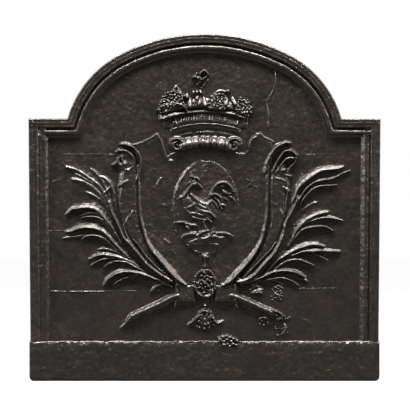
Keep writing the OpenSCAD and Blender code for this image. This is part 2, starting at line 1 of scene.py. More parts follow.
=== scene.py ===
import math
import bmesh
import bpy
import numpy as np
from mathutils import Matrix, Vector, geometry


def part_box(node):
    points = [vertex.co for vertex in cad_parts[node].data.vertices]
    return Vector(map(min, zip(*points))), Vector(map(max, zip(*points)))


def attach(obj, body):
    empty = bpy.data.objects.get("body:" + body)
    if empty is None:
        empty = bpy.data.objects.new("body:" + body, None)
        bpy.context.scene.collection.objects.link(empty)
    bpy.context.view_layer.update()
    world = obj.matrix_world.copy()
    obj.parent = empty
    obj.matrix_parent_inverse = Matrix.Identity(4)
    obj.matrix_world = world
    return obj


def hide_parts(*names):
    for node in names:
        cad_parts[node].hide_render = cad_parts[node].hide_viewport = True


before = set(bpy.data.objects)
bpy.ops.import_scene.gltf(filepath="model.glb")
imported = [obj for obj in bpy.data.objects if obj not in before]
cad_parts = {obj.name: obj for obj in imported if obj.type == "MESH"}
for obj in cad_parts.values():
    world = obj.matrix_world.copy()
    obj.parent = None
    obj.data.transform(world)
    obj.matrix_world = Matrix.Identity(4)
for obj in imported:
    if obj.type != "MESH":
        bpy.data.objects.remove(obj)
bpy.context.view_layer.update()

# ---- Plate ---------------------------------------------------------------------------------
# The upright plate with its arched head, of grey iron, poured in open sand in one with all that
# stands on it. It keeps the sand's soft unevenness, and its edge lies just inside the rim.
MM = 0.001
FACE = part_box("plate")[0].y / MM
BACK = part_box("plate")[1].y / MM
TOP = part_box("plate")[1].z / MM
SHOULDER = Vector((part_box("plate")[1].x / MM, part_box("left_shoulder_moulding")[1].z / MM))
BAND_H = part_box("base_band")[1].z / MM
BAND_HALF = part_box("base_band")[1].x / MM
WAIST = Vector((BAND_HALF - 2, BAND_H))
CROWN_R, HAUNCH_R = 367, 208
HAUNCH_ANGLE = math.radians(27.6)
CROWN_C = Vector((0, TOP - CROWN_R))
HAUNCH_C = CROWN_C + (CROWN_R - HAUNCH_R) * Vector((math.sin(HAUNCH_ANGLE), math.cos(HAUNCH_ANGLE)))
PLATE_STEP = 3.4
OUTLINE_STEP = 3.0
RIM_OVERLAP = 1.5


def lumps(x, z, size, seed):
    """Smooth random unevenness from -1 to 1, in lumps about `size` mm across."""
    cells, shift_x, shift_z = 256, 91.3, 17.9
    table = np.random.default_rng(seed).uniform(-1, 1, (cells, cells))
    u, v = np.asarray(x, float) / size + shift_x, np.asarray(z, float) / size + shift_z
    i, j = np.floor(u).astype(int), np.floor(v).astype(int)
    s, t = u - i, v - j
    s, t = s * s * (3 - 2 * s), t * t * (3 - 2 * t)
    i, j, i1, j1 = i % cells, j % cells, (i + 1) % cells, (j + 1) % cells
    near, far = (table[i, k] * (1 - s) + table[i1, k] * s for k in (j, j1))
    return near * (1 - t) + far * t


def ground(x, z):
    """How far the moulded ground stands off its own level, in mm."""
    return 0.7 * lumps(x, z, 75, 1) + 0.4 * lumps(x, z, 26, 2) + 0.28 * lumps(x, z, 11, 3)


def arc(centre, r, start, end):
    """Points along an arc; angles run anticlockwise from +X."""
    n = max(2, math.ceil(r * abs(end - start) / OUTLINE_STEP))
    return [centre + r * Vector((math.cos(a), math.sin(a))) for a in np.linspace(start, end, n + 1)]


def stretch(a, b):
    """Points along a straight line, without its end."""
    n = max(1, math.ceil((b - a).length / OUTLINE_STEP))
    return [a.lerp(b, i / n) for i in range(n)]


def half_outline(inset, low):
    """The outline from `low` on the right side up to the top of the arch, so far in from the edge."""
    i, j = Vector((-inset, 0)), Vector((0, -inset))
    r = HAUNCH_R - inset
    lift = math.asin((SHOULDER.y - inset - HAUNCH_C.y) / r)
    spring = HAUNCH_C + r * Vector((math.cos(lift), math.sin(lift)))
    turn = math.pi / 2 - HAUNCH_ANGLE
    side = stretch(Vector((WAIST.x, low)) + i, SHOULDER + i + j)
    head = stretch(SHOULDER + i + j, spring) + arc(HAUNCH_C, r, lift, turn)
    return side + head + arc(CROWN_C, CROWN_R - inset, turn, math.pi / 2)[1:]


def mirrored(half):
    """A half outline with its mirror image, in one run."""
    return half + [Vector((-p.x, p.y)) for p in reversed(half[:-1])]


def rough_back(x, z):
    """How far the back lies under its own level, in mm."""
    return 1.1 + 0.55 * lumps(x, z, 62, 5) + 0.35 * lumps(x, z, 17, 6) + 0.15 * lumps(x, z, 6, 7)


def closed_mesh(name, points, faces):
    """A mesh in metres, smooth, from points in mm (x, depth, z) and faces wound outwards."""
    mesh = bpy.data.meshes.new(name)
    mesh.from_pydata((np.asarray(points, float) * MM).tolist(), [], [list(map(int, f)) for f in faces])
    mesh.polygons.foreach_set("use_smooth", [True] * len(mesh.polygons))
    mesh.update()
    return mesh


def put(name, mesh, material, nodes):
    """A finished piece: its own material, in place of the CAD nodes that it stands for."""
    piece = bpy.data.objects.new(name, mesh)
    bpy.context.scene.collection.objects.link(piece)
    mesh.materials.clear()
    mesh.materials.append(material)
    if nodes:
        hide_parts(*nodes)
    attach(piece, "root")
    return piece


def node(tree, kind, output=0, given=None, **settings):
    """One output of a new node; `given` has a value or a link for each input's name or number."""
    new = tree.nodes.new(kind)
    for name, value in settings.items():
        setattr(new, name, value)
    for name, value in (given or {}).items():
        if isinstance(value, bpy.types.NodeSocket):
            tree.links.new(value, new.inputs[name])
        else:
            new.inputs[name].default_value = value
    return new.outputs[output]


# Tones of the iron: under blacklead, where that is thin, rusted, rubbed bright, and a near-black for hollows
# that is partly soot and partly painted shade.
BLACKENED, GREYED = (0.0115, 0.0086, 0.0065, 1), (0.0310, 0.0233, 0.0180, 1)
RUST, RUBBED, SOOT_AND_SHADE = (0.058, 0.030, 0.015, 1), (0.16, 0.146, 0.134, 1), (0.008, 0.0072, 0.0065, 1)


def cast_iron(name, rust=0.2, polish=0.5, grit=1.0, seed=0.0):
    """Blackleaded cast iron: mottled tone, thin rust, a sandy skin, edges rubbed bright, and hollows darkened
    with soot and painted shade.
    """
    material = bpy.data.materials.new(name)
    material.use_nodes = True
    tree = material.node_tree
    shader = tree.nodes["Principled BSDF"]
    for socket, value in (("Metallic", 0.35), ("Specular IOR Level", 1.0), ("IOR", 1.6)):
        shader.inputs[socket].default_value = value
    where = node(tree, "ShaderNodeTexCoord", "Object")

    def noise(scale, detail, roughness=0.55):
        return node(tree, "ShaderNodeTexNoise", 0,
            {"Vector": where, "W": seed + scale * 0.01, "Scale": scale, "Detail": detail,
            "Roughness": roughness}, noise_dimensions="4D")

    def ramp(value, low, high, start=0.0, end=1.0):
        return node(tree, "ShaderNodeMapRange", 0, {0: value, 1: low, 2: high, 3: start, 4: end},
                    interpolation_type="SMOOTHSTEP")

    def mix(factor, first, second):
        return node(tree, "ShaderNodeMix", 2, {0: factor, 6: first, 7: second}, data_type="RGBA")

    def times(a, b, operation="MULTIPLY"):
        return node(tree, "ShaderNodeMath", 0, {0: a, 1: b}, operation=operation)

    def plus(a, b):
        return times(a, b, "ADD")

    mottle = times(ramp(noise(22, 5), 0.32, 0.68), 0.65)
    fleck = times(ramp(noise(190, 3), 0.35, 0.7), 0.35)
    bloom = times(ramp(noise(13, 6, 0.62), 0.56, 0.72), rust)
    edge = node(tree, "ShaderNodeNewGeometry", "Pointiness")
    worn = times(ramp(edge, 0.51, 0.60), 0.4 * polish)
    # Concave places are mixed towards the near-black tone: partly soot and blacking, partly painted shade
    # standing in for the dark of creases and undersides.
    hollow = ramp(edge, 0.38, 0.48, 0.4, 1.0)
    tone = mix(worn, mix(bloom, mix(plus(mottle, fleck), BLACKENED, GREYED), RUST), RUBBED)
    tree.links.new(mix(hollow, SOOT_AND_SHADE, tone), shader.inputs["Base Color"])
    depth = node(tree, "ShaderNodeSeparateXYZ", "Y", {0: node(tree, "ShaderNodeNewGeometry", "Normal")})
    flank = ramp(times(depth, 0.0, "ABSOLUTE"), 0.08, 0.35, 1.0, 0.0)
    rough = plus(ramp(noise(120, 4), 0.3, 0.75, 0.29, 0.43), times(worn, -0.12))
    rough = plus(plus(rough, times(bloom, 0.25)), times(flank, 0.22))
    tree.links.new(rough, shader.inputs["Roughness"])
    skin = times(noise(430, 5, 0.65), 0.55 * grit)
    pits = times(ramp(noise(230, 3), 0.28, 0.46), 0.5 * grit)
    peel = times(times(noise(115, 2, 0.5), 1.9 + 0.5 * grit), ramp(flank, 0.0, 1.0, 1.0, 0.35))
    bump = node(tree, "ShaderNodeBump", 0, {"Height": plus(skin, plus(pits, peel)), "Strength": 0.6,
                                            "Distance": 0.0014})
    tree.links.new(bump, shader.inputs["Normal"])
    return material


def plate_mesh():
    """The plate as rows of points inside its outline, laced to the outline, front and back alike."""
    edge = mirrored(half_outline(RIM_OVERLAP, BAND_H))
    edge += stretch(edge[-1], edge[0])[1:]
    flat = np.array([p[:] for p in edge])
    xs = np.arange(-SHOULDER.x, SHOULDER.x + 1, PLATE_STEP)
    zs = np.arange(BAND_H, TOP + 1, PLATE_STEP)
    gx, gz = (g.ravel() for g in np.meshgrid(xs, zs))
    near, inside = edge_distance(gx, gz, flat)
    keep = inside & (near > 0.9 * PLATE_STEP)
    inner = [Vector((a, b)) for a, b in zip(gx[keep], gz[keep])]
    n = len(edge)
    ring = [(i, (i + 1) % n) for i in range(n)]
    verts, _, tris, *_ = geometry.delaunay_2d_cdt(edge + inner, ring, [], 1, 1e-4)
    p = np.array([v[:] for v in verts])
    tris = np.array(tris)
    a, b, c = (p[tris[:, k]] for k in range(3))
    across = (b[:, 0] - a[:, 0]) * (c[:, 1] - a[:, 1]) - (b[:, 1] - a[:, 1]) * (c[:, 0] - a[:, 0])
    tris[across < 0] = tris[across < 0][:, ::-1]
    near, _ = edge_distance(p[:, 0], p[:, 1], flat)
    worn = 2.0 * np.clip(1 - near / 3, 0, 1) ** 2 * (p[:, 1] > BAND_H + 1)
    front = np.column_stack([p[:, 0], FACE - ground(p[:, 0], p[:, 1]), p[:, 1]])
    back = np.column_stack([p[:, 0], BACK - rough_back(p[:, 0], p[:, 1]) - worn, p[:, 1]])
    return closed_mesh("plate", *between(front, back, tris))


def edge_distance(x, z, outline):
    """Distance of each point to a closed outline, and whether it lies inside it."""
    best = np.full(x.shape, 1e9)
    inside = np.zeros(x.shape, bool)
    for a, b in zip(outline, np.roll(outline, -1, axis=0)):
        d = b - a
        t = np.clip(((x - a[0]) * d[0] + (z - a[1]) * d[1]) / (d @ d), 0, 1)
        best = np.minimum(best, np.hypot(x - a[0] - t * d[0], z - a[1] - t * d[1]))
        if a[1] != b[1]:
            crosses = (a[1] > z) != (b[1] > z)
            inside ^= crosses & (x < (b[0] - a[0]) * (z - a[1]) / (b[1] - a[1]) + a[0])
    return best, inside


def between(front, back, faces):
    """Closes a front and a back of the same faces with a wall round every edge."""
    n = len(front)
    faces = np.asarray(faces)
    start = faces.ravel()
    stop = np.roll(faces, -1, axis=1).ravel()
    key, twin = start.astype(np.int64) * n + stop, stop.astype(np.int64) * n + start
    rim = ~np.isin(key, twin)
    a, b = start[rim], stop[rim]
    wall = np.column_stack([b, a, a + n, b + n])
    lists = faces.tolist() + (faces[:, ::-1] + n).tolist() + wall.tolist()
    return np.vstack([front, back]), lists


plate_iron = cast_iron("plate_iron", rust=0.3, polish=0.35, grit=0.4)
put("plate", plate_mesh(), plate_iron, ["plate"])

# ---- Base band -----------------------------------------------------------------------------
# The plain band along the foot, from a board nailed to the pattern and cast in iron with the
# plate. It wraps the plate's edge, and its sloped top edge and face are knobbly.
BAND_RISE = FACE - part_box("base_band")[0].y / MM
BAND_BEVEL = 6
BAND_CORNER = 9
END_ROUND = 3


def band_section(x, low):
    """The band's section at x as (height, stand-off from the ground), from its top at the back down
    and round under the foot to its top in front; `low` is where the rounded corner cuts it."""
    depth = BACK - FACE
    back = [(z, rough_back(x, z) - depth) for z in np.linspace(BAND_H, low + 2.6, 24)]
    foot = [(low + 1.2, 2.0 - depth), (low + 0.3, 3.0 - depth), (low, 4.5 - depth)]
    foot += [(low, y) for y in np.linspace(8 - depth, BAND_RISE - 4, 8)]
    face = [(low + 0.8, BAND_RISE - 2), (low + 2.2, BAND_RISE - 0.6)]
    face += [(z, BAND_RISE) for z in np.linspace(low + 5, BAND_H - BAND_BEVEL - 3, 26)]
    slope = [(BAND_H - 5.6, BAND_RISE - 0.1), (BAND_H - 3.6, BAND_RISE - 0.7), (BAND_H - 1.8, BAND_RISE - 1.3),
             (BAND_H - 0.4, BAND_RISE - 2.6), (BAND_H - 0.2, 3.6), (BAND_H, 1.4), (BAND_H, -2)]
    return np.array([(float(z), float(y)) for z, y in back + foot + face + slope])


def band_mesh():
    """The band from end to end, its lower corners and its ends rounded, its face and crest uneven."""
    ends = [BAND_HALF - 1.8, BAND_HALF - 0.6, BAND_HALF]
    xs = np.concatenate([-np.array(ends[::-1]), np.arange(4 - BAND_HALF, BAND_HALF - 3, 2.6), ends])
    rows = []
    for x in xs:
        end = BAND_HALF - abs(x)
        dip = BAND_CORNER - end
        low = BAND_CORNER - math.sqrt(BAND_CORNER ** 2 - dip ** 2) if dip > 0 else 0.0
        fall = END_ROUND - math.sqrt(END_ROUND ** 2 - (END_ROUND - end) ** 2) if end < END_ROUND else 0.0
        z, y = band_section(x, low).T
        face = (y > 2) & (z < BAND_H - 1)
        bumps = 0.8 * lumps(x, z, 14, 11) + 0.85 * lumps(x, z, 6, 12) + 0.8 * lumps(x, z, 60, 13)
        y = y + face * (np.minimum(bumps - 0.8, 0.0) - fall)
        crest = (z > BAND_H - 8) & (y > 0)
        y = y + crest * (z < BAND_H - 0.3) * (0.9 * lumps(x, z, 4, 17) - 0.5)
        z = z + crest * (0.8 * lumps(x, z, 8, 14) + 0.7 * lumps(x, z, 21, 15) + 0.6 * lumps(x, z, 3.4,
            16) + 2.8)
        rows.append(np.column_stack([np.full(len(z), x), FACE - y, z]))
    return closed_mesh("base_band", *swept(rows))


def swept(rows):
    """Skin over a row of like sections, each a closed loop; the two ends are capped."""
    n, m = len(rows), len(rows[0])
    faces = [(i * m + j, i * m + (j + 1) % m, (i + 1) * m + (j + 1) % m, (i + 1) * m + j)
             for i in range(n - 1) for j in range(m)]
    return np.vstack(rows), faces + [tuple(range(m - 1, -1, -1)), tuple(range((n - 1) * m, n * m))]


def outward(mesh):
    """Turns the faces of a closed mesh outwards."""
    shell = bmesh.new()
    shell.from_mesh(mesh)
    bmesh.ops.recalc_face_normals(shell, faces=shell.faces)
    shell.to_mesh(mesh)
    shell.free()
    return mesh


band_iron = cast_iron("band_iron", rust=0.2, polish=0.6, grit=0.8, seed=3)
put("base_band", outward(band_mesh()), band_iron, ["base_band"])

# ---- Border moulding -----------------------------------------------------------------------
# One run of iron moulding from the band up each side, round the shoulders and over the arch: a flat
# with a raised line, a quirk, a bead and a low step, mitred at the corners. Cast with the plate.
MOULD = [(3.5, -18.2), (1.6, -17.9), (0.5, -17.0), (0, -15.5), (0, -12), (0, -8), (0, -4), (0, 0), (0, 4),
    (0, 7.5), (0.3, 9.5), (1.2, 11.0), (2.8, 11.8), (4.8, 11.7), (6.3, 11.1), (7.3, 11.2), (8.4, 11.8),
    (9.8, 11.6), (11.5, 10.9), (13.5, 10.5), (15.2, 10.6), (16.6, 10.9), (17.6, 10.2), (18.3, 8.0), (18.9, 5.0),
    (19.8, 3.6), (20.8, 4.0), (21.8, 6.0), (23.2, 7.9), (25.0, 9.1), (27, 9.5), (29.0, 9.1), (30.8, 7.9),
    (32.2, 6.0), (33.1, 4.2), (34.0, 3.4), (35.6, 3.1), (37.2, 2.5), (38.2, 1.0), (38.8, -1.5), (36, -3),
    (6, -3)]


# Beyond CLOG_X on either side, and below CLOG_Z, blacking and dirt fill the hollows of the
# moulding between two lines of its section up to CLOG_LEVEL.
CLOG_X, CLOG_Z, CLOG_LEVEL, CLOGGED = 340, 590, 9.3, (17, 34.5)


def mitred(path):
    """Each point of an open path with its inward mitre, for offsets to the left of travel."""
    out = []
    for i, p in enumerate(path):
        before = path[i] - path[max(i - 1, 0)]
        after = path[min(i + 1, len(path) - 1)] - p
        n1 = (before if before.length else after).normalized()
        n2 = (after if after.length else before).normalized()
        a, b = Vector((-n1.y, n1.x)), Vector((-n2.y, n2.x))
        out.append((p, (a + b) / (1 + a.dot(b))))
    return out


def moulding_mesh():
    """The section carried round the mitred outline, worn and a little wavy."""
    rows = []
    for p, m in mitred(mirrored(half_outline(0, BAND_H - 3))):
        s, h = np.array(MOULD).T
        x, z = p.x + m.x * s, p.y + m.y * s
        front = h > 2
        clog = np.clip((abs(p.x) - CLOG_X) / 5, 0, 1) * np.clip((CLOG_Z - p.y) / 40, 0, 1)
        clog = clog * (0.8 if p.x < 0 else 0.45) * ((s > CLOGGED[0]) & (s < CLOGGED[1]))
        h = h + clog * np.maximum(CLOG_LEVEL - h, 0)
        worn = 0.45 * lumps(x, z, 16, 21) + 0.3 * lumps(x, z, 5.5, 22) + 0.5 * lumps(x, z, 55, 23) - 0.6
        h = np.where(front, h + worn * np.where(s < 2, 0.3, 1), h)
        drift = np.where(s > 2, 0.35 * lumps(x, z, 24, 24), 0)
        rows.append(np.column_stack([x + m.x * drift, FACE - h, z + m.y * drift]))
    return closed_mesh("border_moulding", *swept(rows))


rim_iron = cast_iron("rim_iron", rust=0.45, polish=0.6, grit=0.7, seed=5)
MOULD_NODES = ["crown_moulding"] + [side + part for side in ("left_", "right_")
                                    for part in ("side_moulding", "shoulder_moulding", "haunch_moulding")]
put("border_moulding", outward(moulding_mesh()), rim_iron, MOULD_NODES)

# ---- Casting marks -------------------------------------------------------------------------
# Thin iron fins where the boards of the pattern met, and runs where the metal broke the sand.
# They stand one or two millimetres off the ground, with the rounded foot that all the relief has.
LOW = -6.0  # what a field of heights holds where nothing stands


class Field:
    """Heights in mm over a patch of the plate's face; x runs across and z runs up."""

    def __init__(self, x0, x1, z0, z1, step=1.0):
        self.xs = np.arange(x0, x1 + step, step)
        self.zs = np.arange(z0, z1 + step, step)
        self.x, self.z = np.meshgrid(self.xs, self.zs)
        self.h = np.full(self.x.shape, LOW)

    def window(self, x0, x1, z0, z1):
        """The part of the field inside these bounds."""
        i, j = np.searchsorted(self.zs, (z0, z1))
        k, n = np.searchsorted(self.xs, (x0, x1))
        return np.s_[i:j + 1, k:n + 1]

    def add(self, h, soft=0.0):
        """Joins more relief on: the higher of the two, with a rounded valley between them."""
        joined = 0.5 * (self.h + h + np.sqrt((self.h - h) ** 2 + soft * soft))
        self.h = np.where(h > LOW + 0.01, joined, self.h)

    def ridge(self, stations, left=0.6, right=0.6, soft=0.6):
        """A ridge through [x, z, width on its left, width on its right, rise]. A side is round at
        1, a flat slope at 0 and hollow below 0."""
        out = np.full(self.h.shape, LOW)
        line = eased(stations)
        for a, b in zip(line[:-1], line[1:]):
            reach = 1.5 * max(a[2:4].max(), b[2:4].max()) + 2
            w = self.window(min(a[0], b[0]) - reach, max(a[0], b[0]) + reach,
                            min(a[1], b[1]) - reach, max(a[1], b[1]) + reach)
            dx, dz = self.x[w] - a[0], self.z[w] - a[1]
            ex, ez = b[:2] - a[:2]
            t = np.clip((dx * ex + dz * ez) / (ex * ex + ez * ez + 1e-9), 0, 1)
            far = np.hypot(dx - t * ex, dz - t * ez)
            on_left = ex * dz - ez * dx > 0
            width = np.where(on_left, a[2] + t * (b[2] - a[2]), a[3] + t * (b[3] - a[3]))
            u = far / np.maximum(width, 0.3)
            bulge = np.where(on_left, left, right)
            rise = (a[4] + t * (b[4] - a[4])) * (1 - u) * (1 + bulge * np.minimum(u, 1))
            out[w] = np.maximum(out[w], np.maximum(rise, LOW))
        self.add(out, soft)
        return self

    def line(self, points, left, right, rise, *slopes):
        """A ridge along points; each size is one number or a list of numbers spread along it."""
        return self.ridge(tapered(points, left, right, rise), *slopes)

    def lines(self, *rows):
        """A ridge for each row of what `line` takes."""
        for row in rows:
            self.line(*row)

    def rough(self, *layers, above=-math.inf):
        """Uneven skin where the field stands above so much: layers of lumps [height, size, seed]."""
        self.h += (self.h > above) * sum(high * lumps(self.x, self.z, size, seed) for high, size,
            seed in layers)

    def dome(self, x, z, a, b, rise, tilt=0.0, soft=0.6, drop=None):
        """A rounded lump of half widths a and b, turned by `tilt` degrees, that stands `rise` high
        and falls by `drop` to its rim (all the way if not given)."""
        c, s = math.cos(math.radians(tilt)), math.sin(math.radians(tilt))
        u = ((self.x - x) * c + (self.z - z) * s) / a
        v = ((self.z - z) * c - (self.x - x) * s) / b
        q = u * u + v * v
        self.add(np.maximum(rise * (1 - q), LOW) if drop is None else np.where(q < 1, rise - drop * q, LOW),
            soft)
        return self

    def groove(self, points, width, depth):
        """Cuts a rounded line of the given width into what is there."""
        near = Field(self.xs[0], self.xs[-1], self.zs[0], self.zs[-1], self.xs[1] - self.xs[0])
        near.ridge([[*p, 3 * width, 3 * width, 1] for p in points], 0, 0, 0)
        r = 3 * (1 - near.h[:self.h.shape[0], :self.h.shape[1]])
        self.h -= depth * np.exp(-r * r) * (self.h > 0.3)
        return self


def tapered(points, left, right, rise):
    """Stations for a ridge: each size is one number or a list of numbers spread along the line."""
    sizes = [np.interp(np.linspace(0, 1, len(points)), np.linspace(0, 1, np.size(v)), np.atleast_1d(v))
             for v in (left, right, rise)]
    return [[x, z, *s] for (x, z), *s in zip(points, *sizes)]


def eased(stations):
    """A smooth line through the stations, with all that a station holds eased along it."""
    p = np.array(stations, float)
    q = np.vstack([p[:1], p, p[-1:]])
    steps, thinnest = 5, 0.2
    out = []
    for i in range(len(p) - 1):
        a, b, c, d = q[i:i + 4]
        for t in np.arange(steps) / steps:
            out.append(b + 0.5 * t * (c - a + t * (2 * a - 5 * b + 4 * c - d + t * (3 * (b - c) + d - a))))
    out.append(p[-1])
    out = np.array(out)
    out[:, 2:] = np.maximum(out[:, 2:], thinnest)
    return out


def soften(h, spread):
    """Blurs a field of heights, as sand, wash and blacking soften carving."""
    reach = max(1, math.ceil(2.5 * spread))
    weights = np.exp(-0.5 * (np.arange(-reach, reach + 1) / spread) ** 2)
    weights /= weights.sum()
    for axis in (0, 1):
        pad = [(reach, reach) if k == axis else (0, 0) for k in (0, 1)]
        wide = np.pad(h, pad, mode="edge")
        n = h.shape[axis]
        h = sum(w * np.take(wide, range(k, k + n), axis) for k, w in enumerate(weights))
    return h


FOOT = 0.16  # how far a relief is let into the ground, so that its rounded foot ends there
PROUD = 14.95  # the most that anything stands off the face
KEYED = 2.5  # how far the back of a relief lies inside the plate
SKIN_SEED = 31


def shell(field, base=ground, spread=0.9, fillet=1.4, grain=0.55):
    """The closed skin of a relief: its face where it stands off `base`, and a flat back in the plate."""
    x, z = field.x, field.z
    step = field.xs[1] - field.xs[0]
    h = soften(field.h, spread / step)
    h = 0.5 * (h + np.sqrt(h * h + fillet * fillet)) - FOOT
    h += grain * np.clip(h, 0, 1) * (0.6 * lumps(x, z, 7, SKIN_SEED) + 0.4 * lumps(x, z, 3.1, SKIN_SEED + 1))
    up = h > 0
    cell = up[:-1, :-1] | up[1:, :-1] | up[:-1, 1:] | up[1:, 1:]
    index = np.arange(x.size).reshape(x.shape)
    quads = np.column_stack([c[cell] for c in (index[:-1, :-1], index[:-1, 1:], index[1:, 1:], index[1:, :-1])])
    used, quads = np.unique(quads, return_inverse=True)
    quads = quads.reshape(-1, 4)
    level = (base(x, z) + np.where(up, h, -0.5)).ravel()[used]
    px, pz = x.ravel()[used], z.ravel()[used]
    front = np.column_stack([px, FACE - np.minimum(level, PROUD), pz])
    back = np.column_stack([px, np.full(len(px), FACE + KEYED), pz])
    return between(front, back, quads)


def joined(shells):
    """The points and faces of several closed skins in one."""
    points, faces, first = [], [], 0
    for p, f in shells:
        points.append(p)
        faces += [[i + first for i in face] for face in f]
        first += len(p)
    return np.vstack(points), faces


def carved(name, relief, material, *rows, nodes=None, slot="carving", **skin):
    """A carving from its relief, with rows of small pieces set on it, for the node of its name."""
    mesh = closed_mesh(name, *joined([shell(relief, **skin), *rows]))
    return put(name, mesh, material, [name] if nodes is None else nodes)


def line_mark(points, width, rise, seed):
    """A thin fin along a line, broken and uneven in height."""
    xs, zs = [p[0] for p in points], [p[1] for p in points]
    f = Field(min(xs) - 6, max(xs) + 6, min(zs) - 6, max(zs) + 6, 0.9)
    f.ridge([[*p, width, width, rise] for p in points], 0, 0, 0)
    f.h *= np.where(f.h > 0, 0.75 + 0.45 * lumps(f.x, f.z, 9, seed), 1)
    return shell(f, spread=0.6, fillet=0.5, grain=0.1)


FINS = [([(-283, 452), (-230, 452.5), (-171, 452)], 1.3, 0.6),
    ([(-316, 299), (-295, 299.5), (-274, 299)], 1.6, 1.3),
    ([(-314, 178.5), (-262, 178), (-214, 178)], 1.7, 1.6),
    ([(-214, 178), (-175, 178.5), (-136, 179)], 1.5, 1.0), ([(153, 184.5), (205, 184), (262, 184.5)], 1.5, 0.8),
    ([(-283, 438), (-268, 439)], 1.4, 0.6), ([(86, 451), (130, 451.5)], 1.4, 0.5),
    ([(205, 452), (262, 452.5)], 1.4, 0.6)]
RUNS = [([(143, 617), (142, 596), (135, 575), (124, 557), (127, 537), (128, 506)], 1.7, 2.2),
    ([(11, 652), (16, 638), (9, 622)], 2.0, 0.9), ([(-259, 190), (-281, 176)], 2.0, 0.7),
    ([(-303, 397), (-296, 400), (-285, 400)], 2.4, 1.2), ([(-97, 583), (-88, 595)], 2, 0.8),
    ([(60, 655), (70, 630), (66, 610)], 2.2, 0.6), ([(189, 127), (205, 119)], 2.2, 0.8)]
marks = [line_mark(points, w, rise, 40 + i) for i, (points, w, rise) in enumerate(FINS + RUNS)]
put("casting_fins", closed_mesh("casting_fins", *joined(marks)), plate_iron, [])

# ---- Palms ---------------------------------------------------------------------------------
# Two branches of palm that cross below the shield and sweep up its sides. Every leaf was carved
# with a broad slope to the light and a steep edge under it. Cast with the plate; blackleaded.


AT_ROOT, AT_TIP = 0.55, 0.3  # a leaf's width at its ends, in parts of its full width


def leaf(field, points, up, down, rise):
    """A carved leaf along its crest, from root to tip: `up` and `down` are the widths of its
    upper and lower slopes at their widest, and it thins towards both ends."""
    n = len(points) - 1
    ahead = points[-1][0] > points[0][0]
    stations = []
    for i, (x, z) in enumerate(points):
        t = i / n
        full = min(1, AT_ROOT + (1 - AT_ROOT) * t / 0.35) * (1 - (1 - AT_TIP) * max(0,
            (t - 0.45) / 0.55) ** 1.6)
        wide = (up * full, down * full)
        stations.append([x, z, *(wide if ahead else wide[::-1]), rise * (0.72 + 0.28 * full)])
    upper = -0.3 if up >= 9 else 0.3
    slopes = (upper, 0.75) if ahead else (0.75, upper)
    field.ridge(stations, *slopes)
    if up >= 5:
        side = 1 if ahead else -1
        line = []
        for (x0, z0, *_), (x, z, *w), (x1, z1, *_) in zip(stations[:-2], stations[1:-1], stations[2:]):
            far = math.hypot(x1 - x0, z1 - z0)
            off = side * 0.5 * (w[0] if ahead else w[1])
            line.append((x - off * (z1 - z0) / far, z + off * (x1 - x0) / far))
        if len(line) > 2:
            field.groove(line, 0.9, 1.3)


def branch(name, box, leaves, stems):
    """A palm from its leaves and stems [points, upper width, lower width, rise], finely uneven."""
    field = Field(*box)
    for points, up, down, rise in leaves:
        leaf(field, points, up, down, rise)
    for points, up, down, rise in stems:
        ahead = points[-1][0] > points[0][0]
        n = len(points) - 1
        wide = [(up * (1 - 0.5 * i / n), down * (1 - 0.4 * i / n)) for i in range(n + 1)]
        field.ridge([[x, z, *(w if ahead else w[::-1]), rise * (1 - 0.2 * i / n)] for i,
            ((x, z), w) in enumerate(zip(points, wide))], *((0.15, 0.6) if ahead else (0.6, 0.15)))
    field.rough((0.45, 4.2, 61), above=2)
    carved(name, field, palm_iron, spread=0.75)


